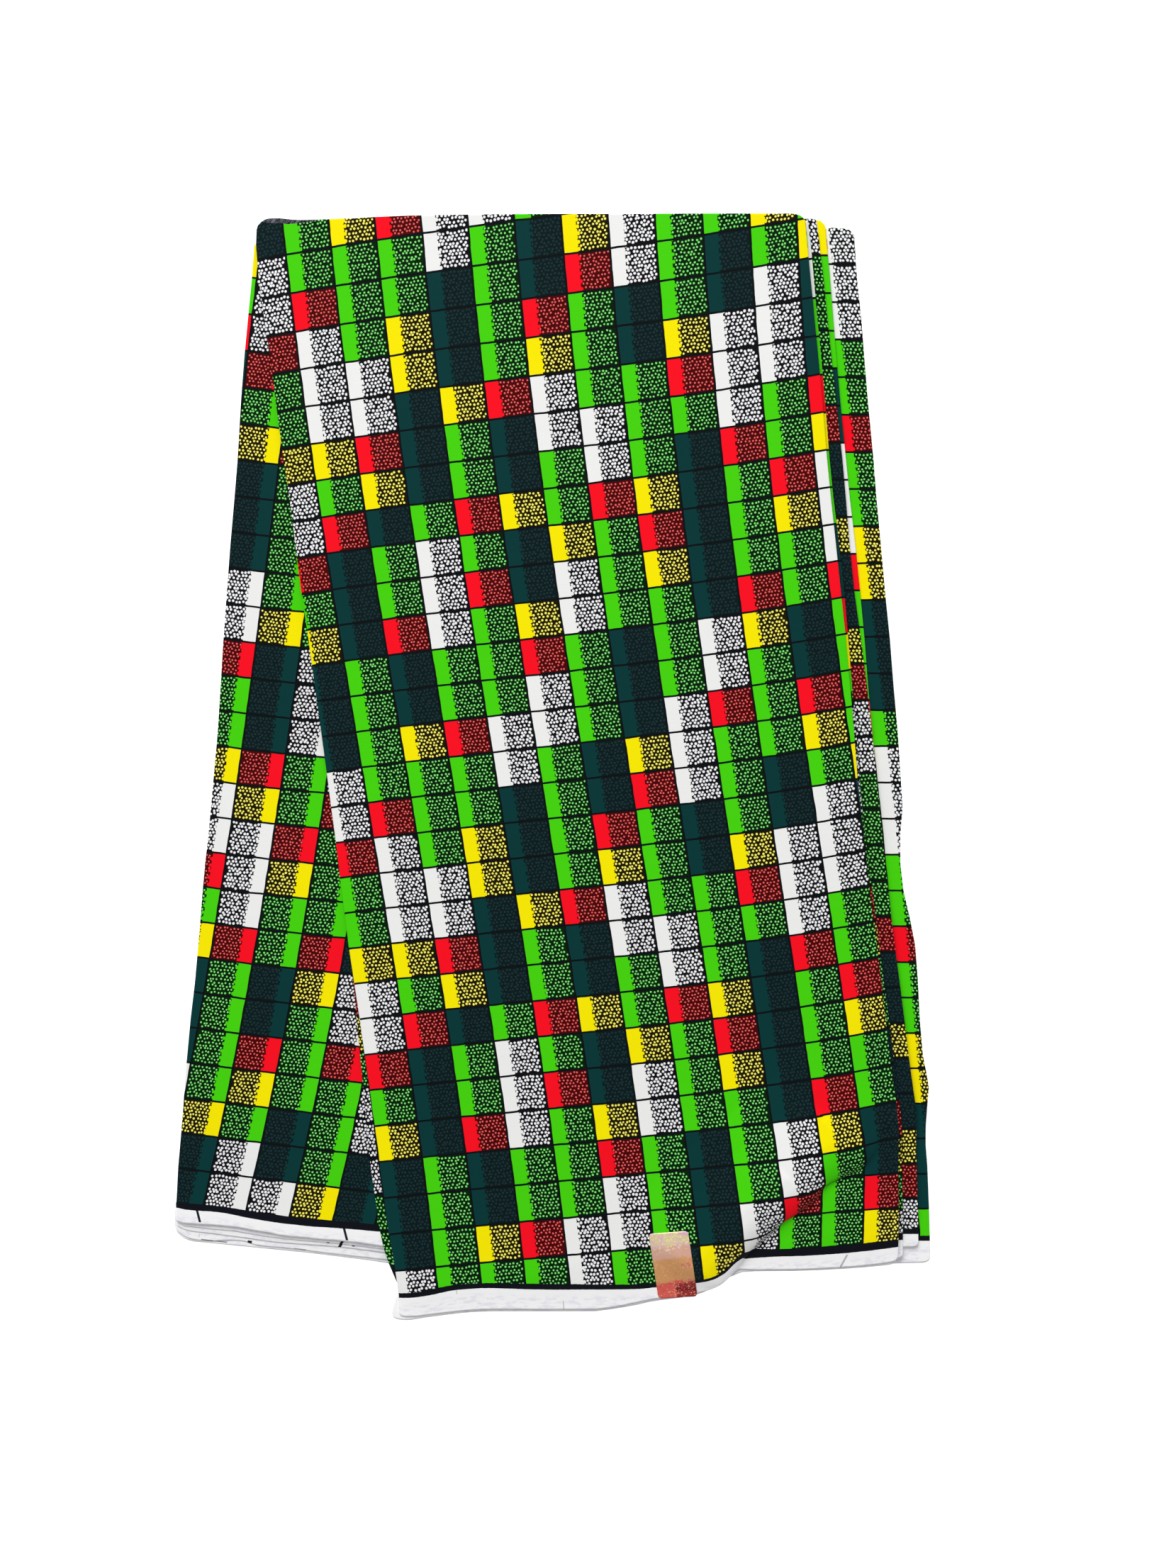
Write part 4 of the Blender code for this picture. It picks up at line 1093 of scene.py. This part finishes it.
LABEL = {"head_left": (52.0, -247.3), "head_right": (73.2, -244.6), "foot_right": (78.8, -282.5), "foot_left": (57.5, -284.1)}
LABEL_CORNER = 0.09  # share of the width
a, b = np.meshgrid(np.linspace(0, 1, 31), np.linspace(0, 1, 51))
wide, tall = 21.3, 37.6


def rounded(a, b, radius=2.0):
    """Pulls the corners of the unit square in to a rounded outline."""
    u, v = (a - 0.5) * wide, (b - 0.5) * tall
    hx, hy = wide / 2 - radius, tall / 2 - radius
    ex, ey = np.maximum(np.abs(u) - hx, 0), np.maximum(np.abs(v) - hy, 0)
    both = np.hypot(ex, ey)
    reach = np.maximum(ex, ey)
    k = np.where(both > 1e-9, reach / np.maximum(both, 1e-9), 1.0)
    return np.sign(u) * (np.minimum(np.abs(u), hx) + ex * k) / wide + 0.5, \
        np.sign(v) * (np.minimum(np.abs(v), hy) + ey * k) / tall + 0.5


a, b = rounded(a, b)
corner = {k: np.array(v) for k, v in LABEL.items()}
plan = (corner["foot_left"] * (1 - a)[..., None] + corner["foot_right"] * a[..., None]) * (1 - b)[..., None] \
    + (corner["head_left"] * (1 - a)[..., None] + corner["head_right"] * a[..., None]) * b[..., None]
x, y = plan[..., 0], plan[..., 1]
far, nx, ny, high, lean, fade = ripple_place(x, y)
share = np.interp(far, RIPPLE_SECTION[:, 0], RIPPLE_SECTION[:, 2])
z = front_height(x, y) + share * high * fade + 0.30 + 0.05 * np.sin(a * 9.0 + b * 5.0)
z = z + 0.25 * ease((0.10 - b) / 0.10) + 0.10 * ease((a - 0.9) / 0.1)
label = shell("blank_foil_label", np.stack([x, y, z], 2), a, 1 - b, a, b, FOIL, 0.12)
put_in(label, "foil", "foil_label")


# ---------------------------------------------------------------- floor, light and camera

bpy.ops.mesh.primitive_plane_add(size=6.0, location=(0, 0, -0.0002))
floor = bpy.context.object
floor.name = "floor"
t = Tree("floor")
g = t.noise(t.node("ShaderNodeTexCoord").outputs["Object"], 3.0, 3.0)
t.put(t.shader.inputs["Base Color"], t.mix(g, (0.93, 0.93, 0.93, 1), (0.95, 0.95, 0.95, 1)))
t.shader.inputs["Roughness"].default_value = 0.9
t.shader.inputs["Specular IOR Level"].default_value = 0.0
t.shader.inputs["Emission Color"].default_value = (1.0, 1.0, 1.0, 1.0)
t.shader.inputs["Emission Strength"].default_value = 0.68
floor.data.materials.append(t.material)

world = bpy.data.worlds.new("studio")
world.use_nodes = True
world.node_tree.nodes["Background"].inputs[0].default_value = (1.0, 1.0, 1.0, 1.0)
world.node_tree.nodes["Background"].inputs[1].default_value = 0.36
bpy.context.scene.world = world


def area_light(name, place, size, power, aim=(0.0, 0.0, 0.0)):
    data = bpy.data.lights.new(name, "AREA")
    data.shape = "SQUARE"
    data.size = size
    data.energy = power
    ob = bpy.data.objects.new(name, data)
    ob.location = place
    ob.rotation_euler = (Vector(aim) - Vector(place)).to_track_quat("-Z", "Y").to_euler()
    bpy.context.scene.collection.objects.link(ob)


area_light("key", (-1.12, 3.65, 2.88), 3.2, 238.0)
area_light("fill", (1.3, -0.6, 1.6), 1.4, 1.6)

camera = bpy.data.objects.new("camera", bpy.data.cameras.new("camera"))
camera.data.lens = 36.0
camera.data.sensor_width = 36.0
camera.location = (0.0190, 0.0565, 0.8479)
camera.rotation_euler = (math.radians(-4.0), 0.0, 0.0)
bpy.context.scene.collection.objects.link(camera)
bpy.context.scene.camera = camera
bpy.context.scene.view_settings.view_transform = "Standard"
bpy.context.scene.view_settings.look = "None"
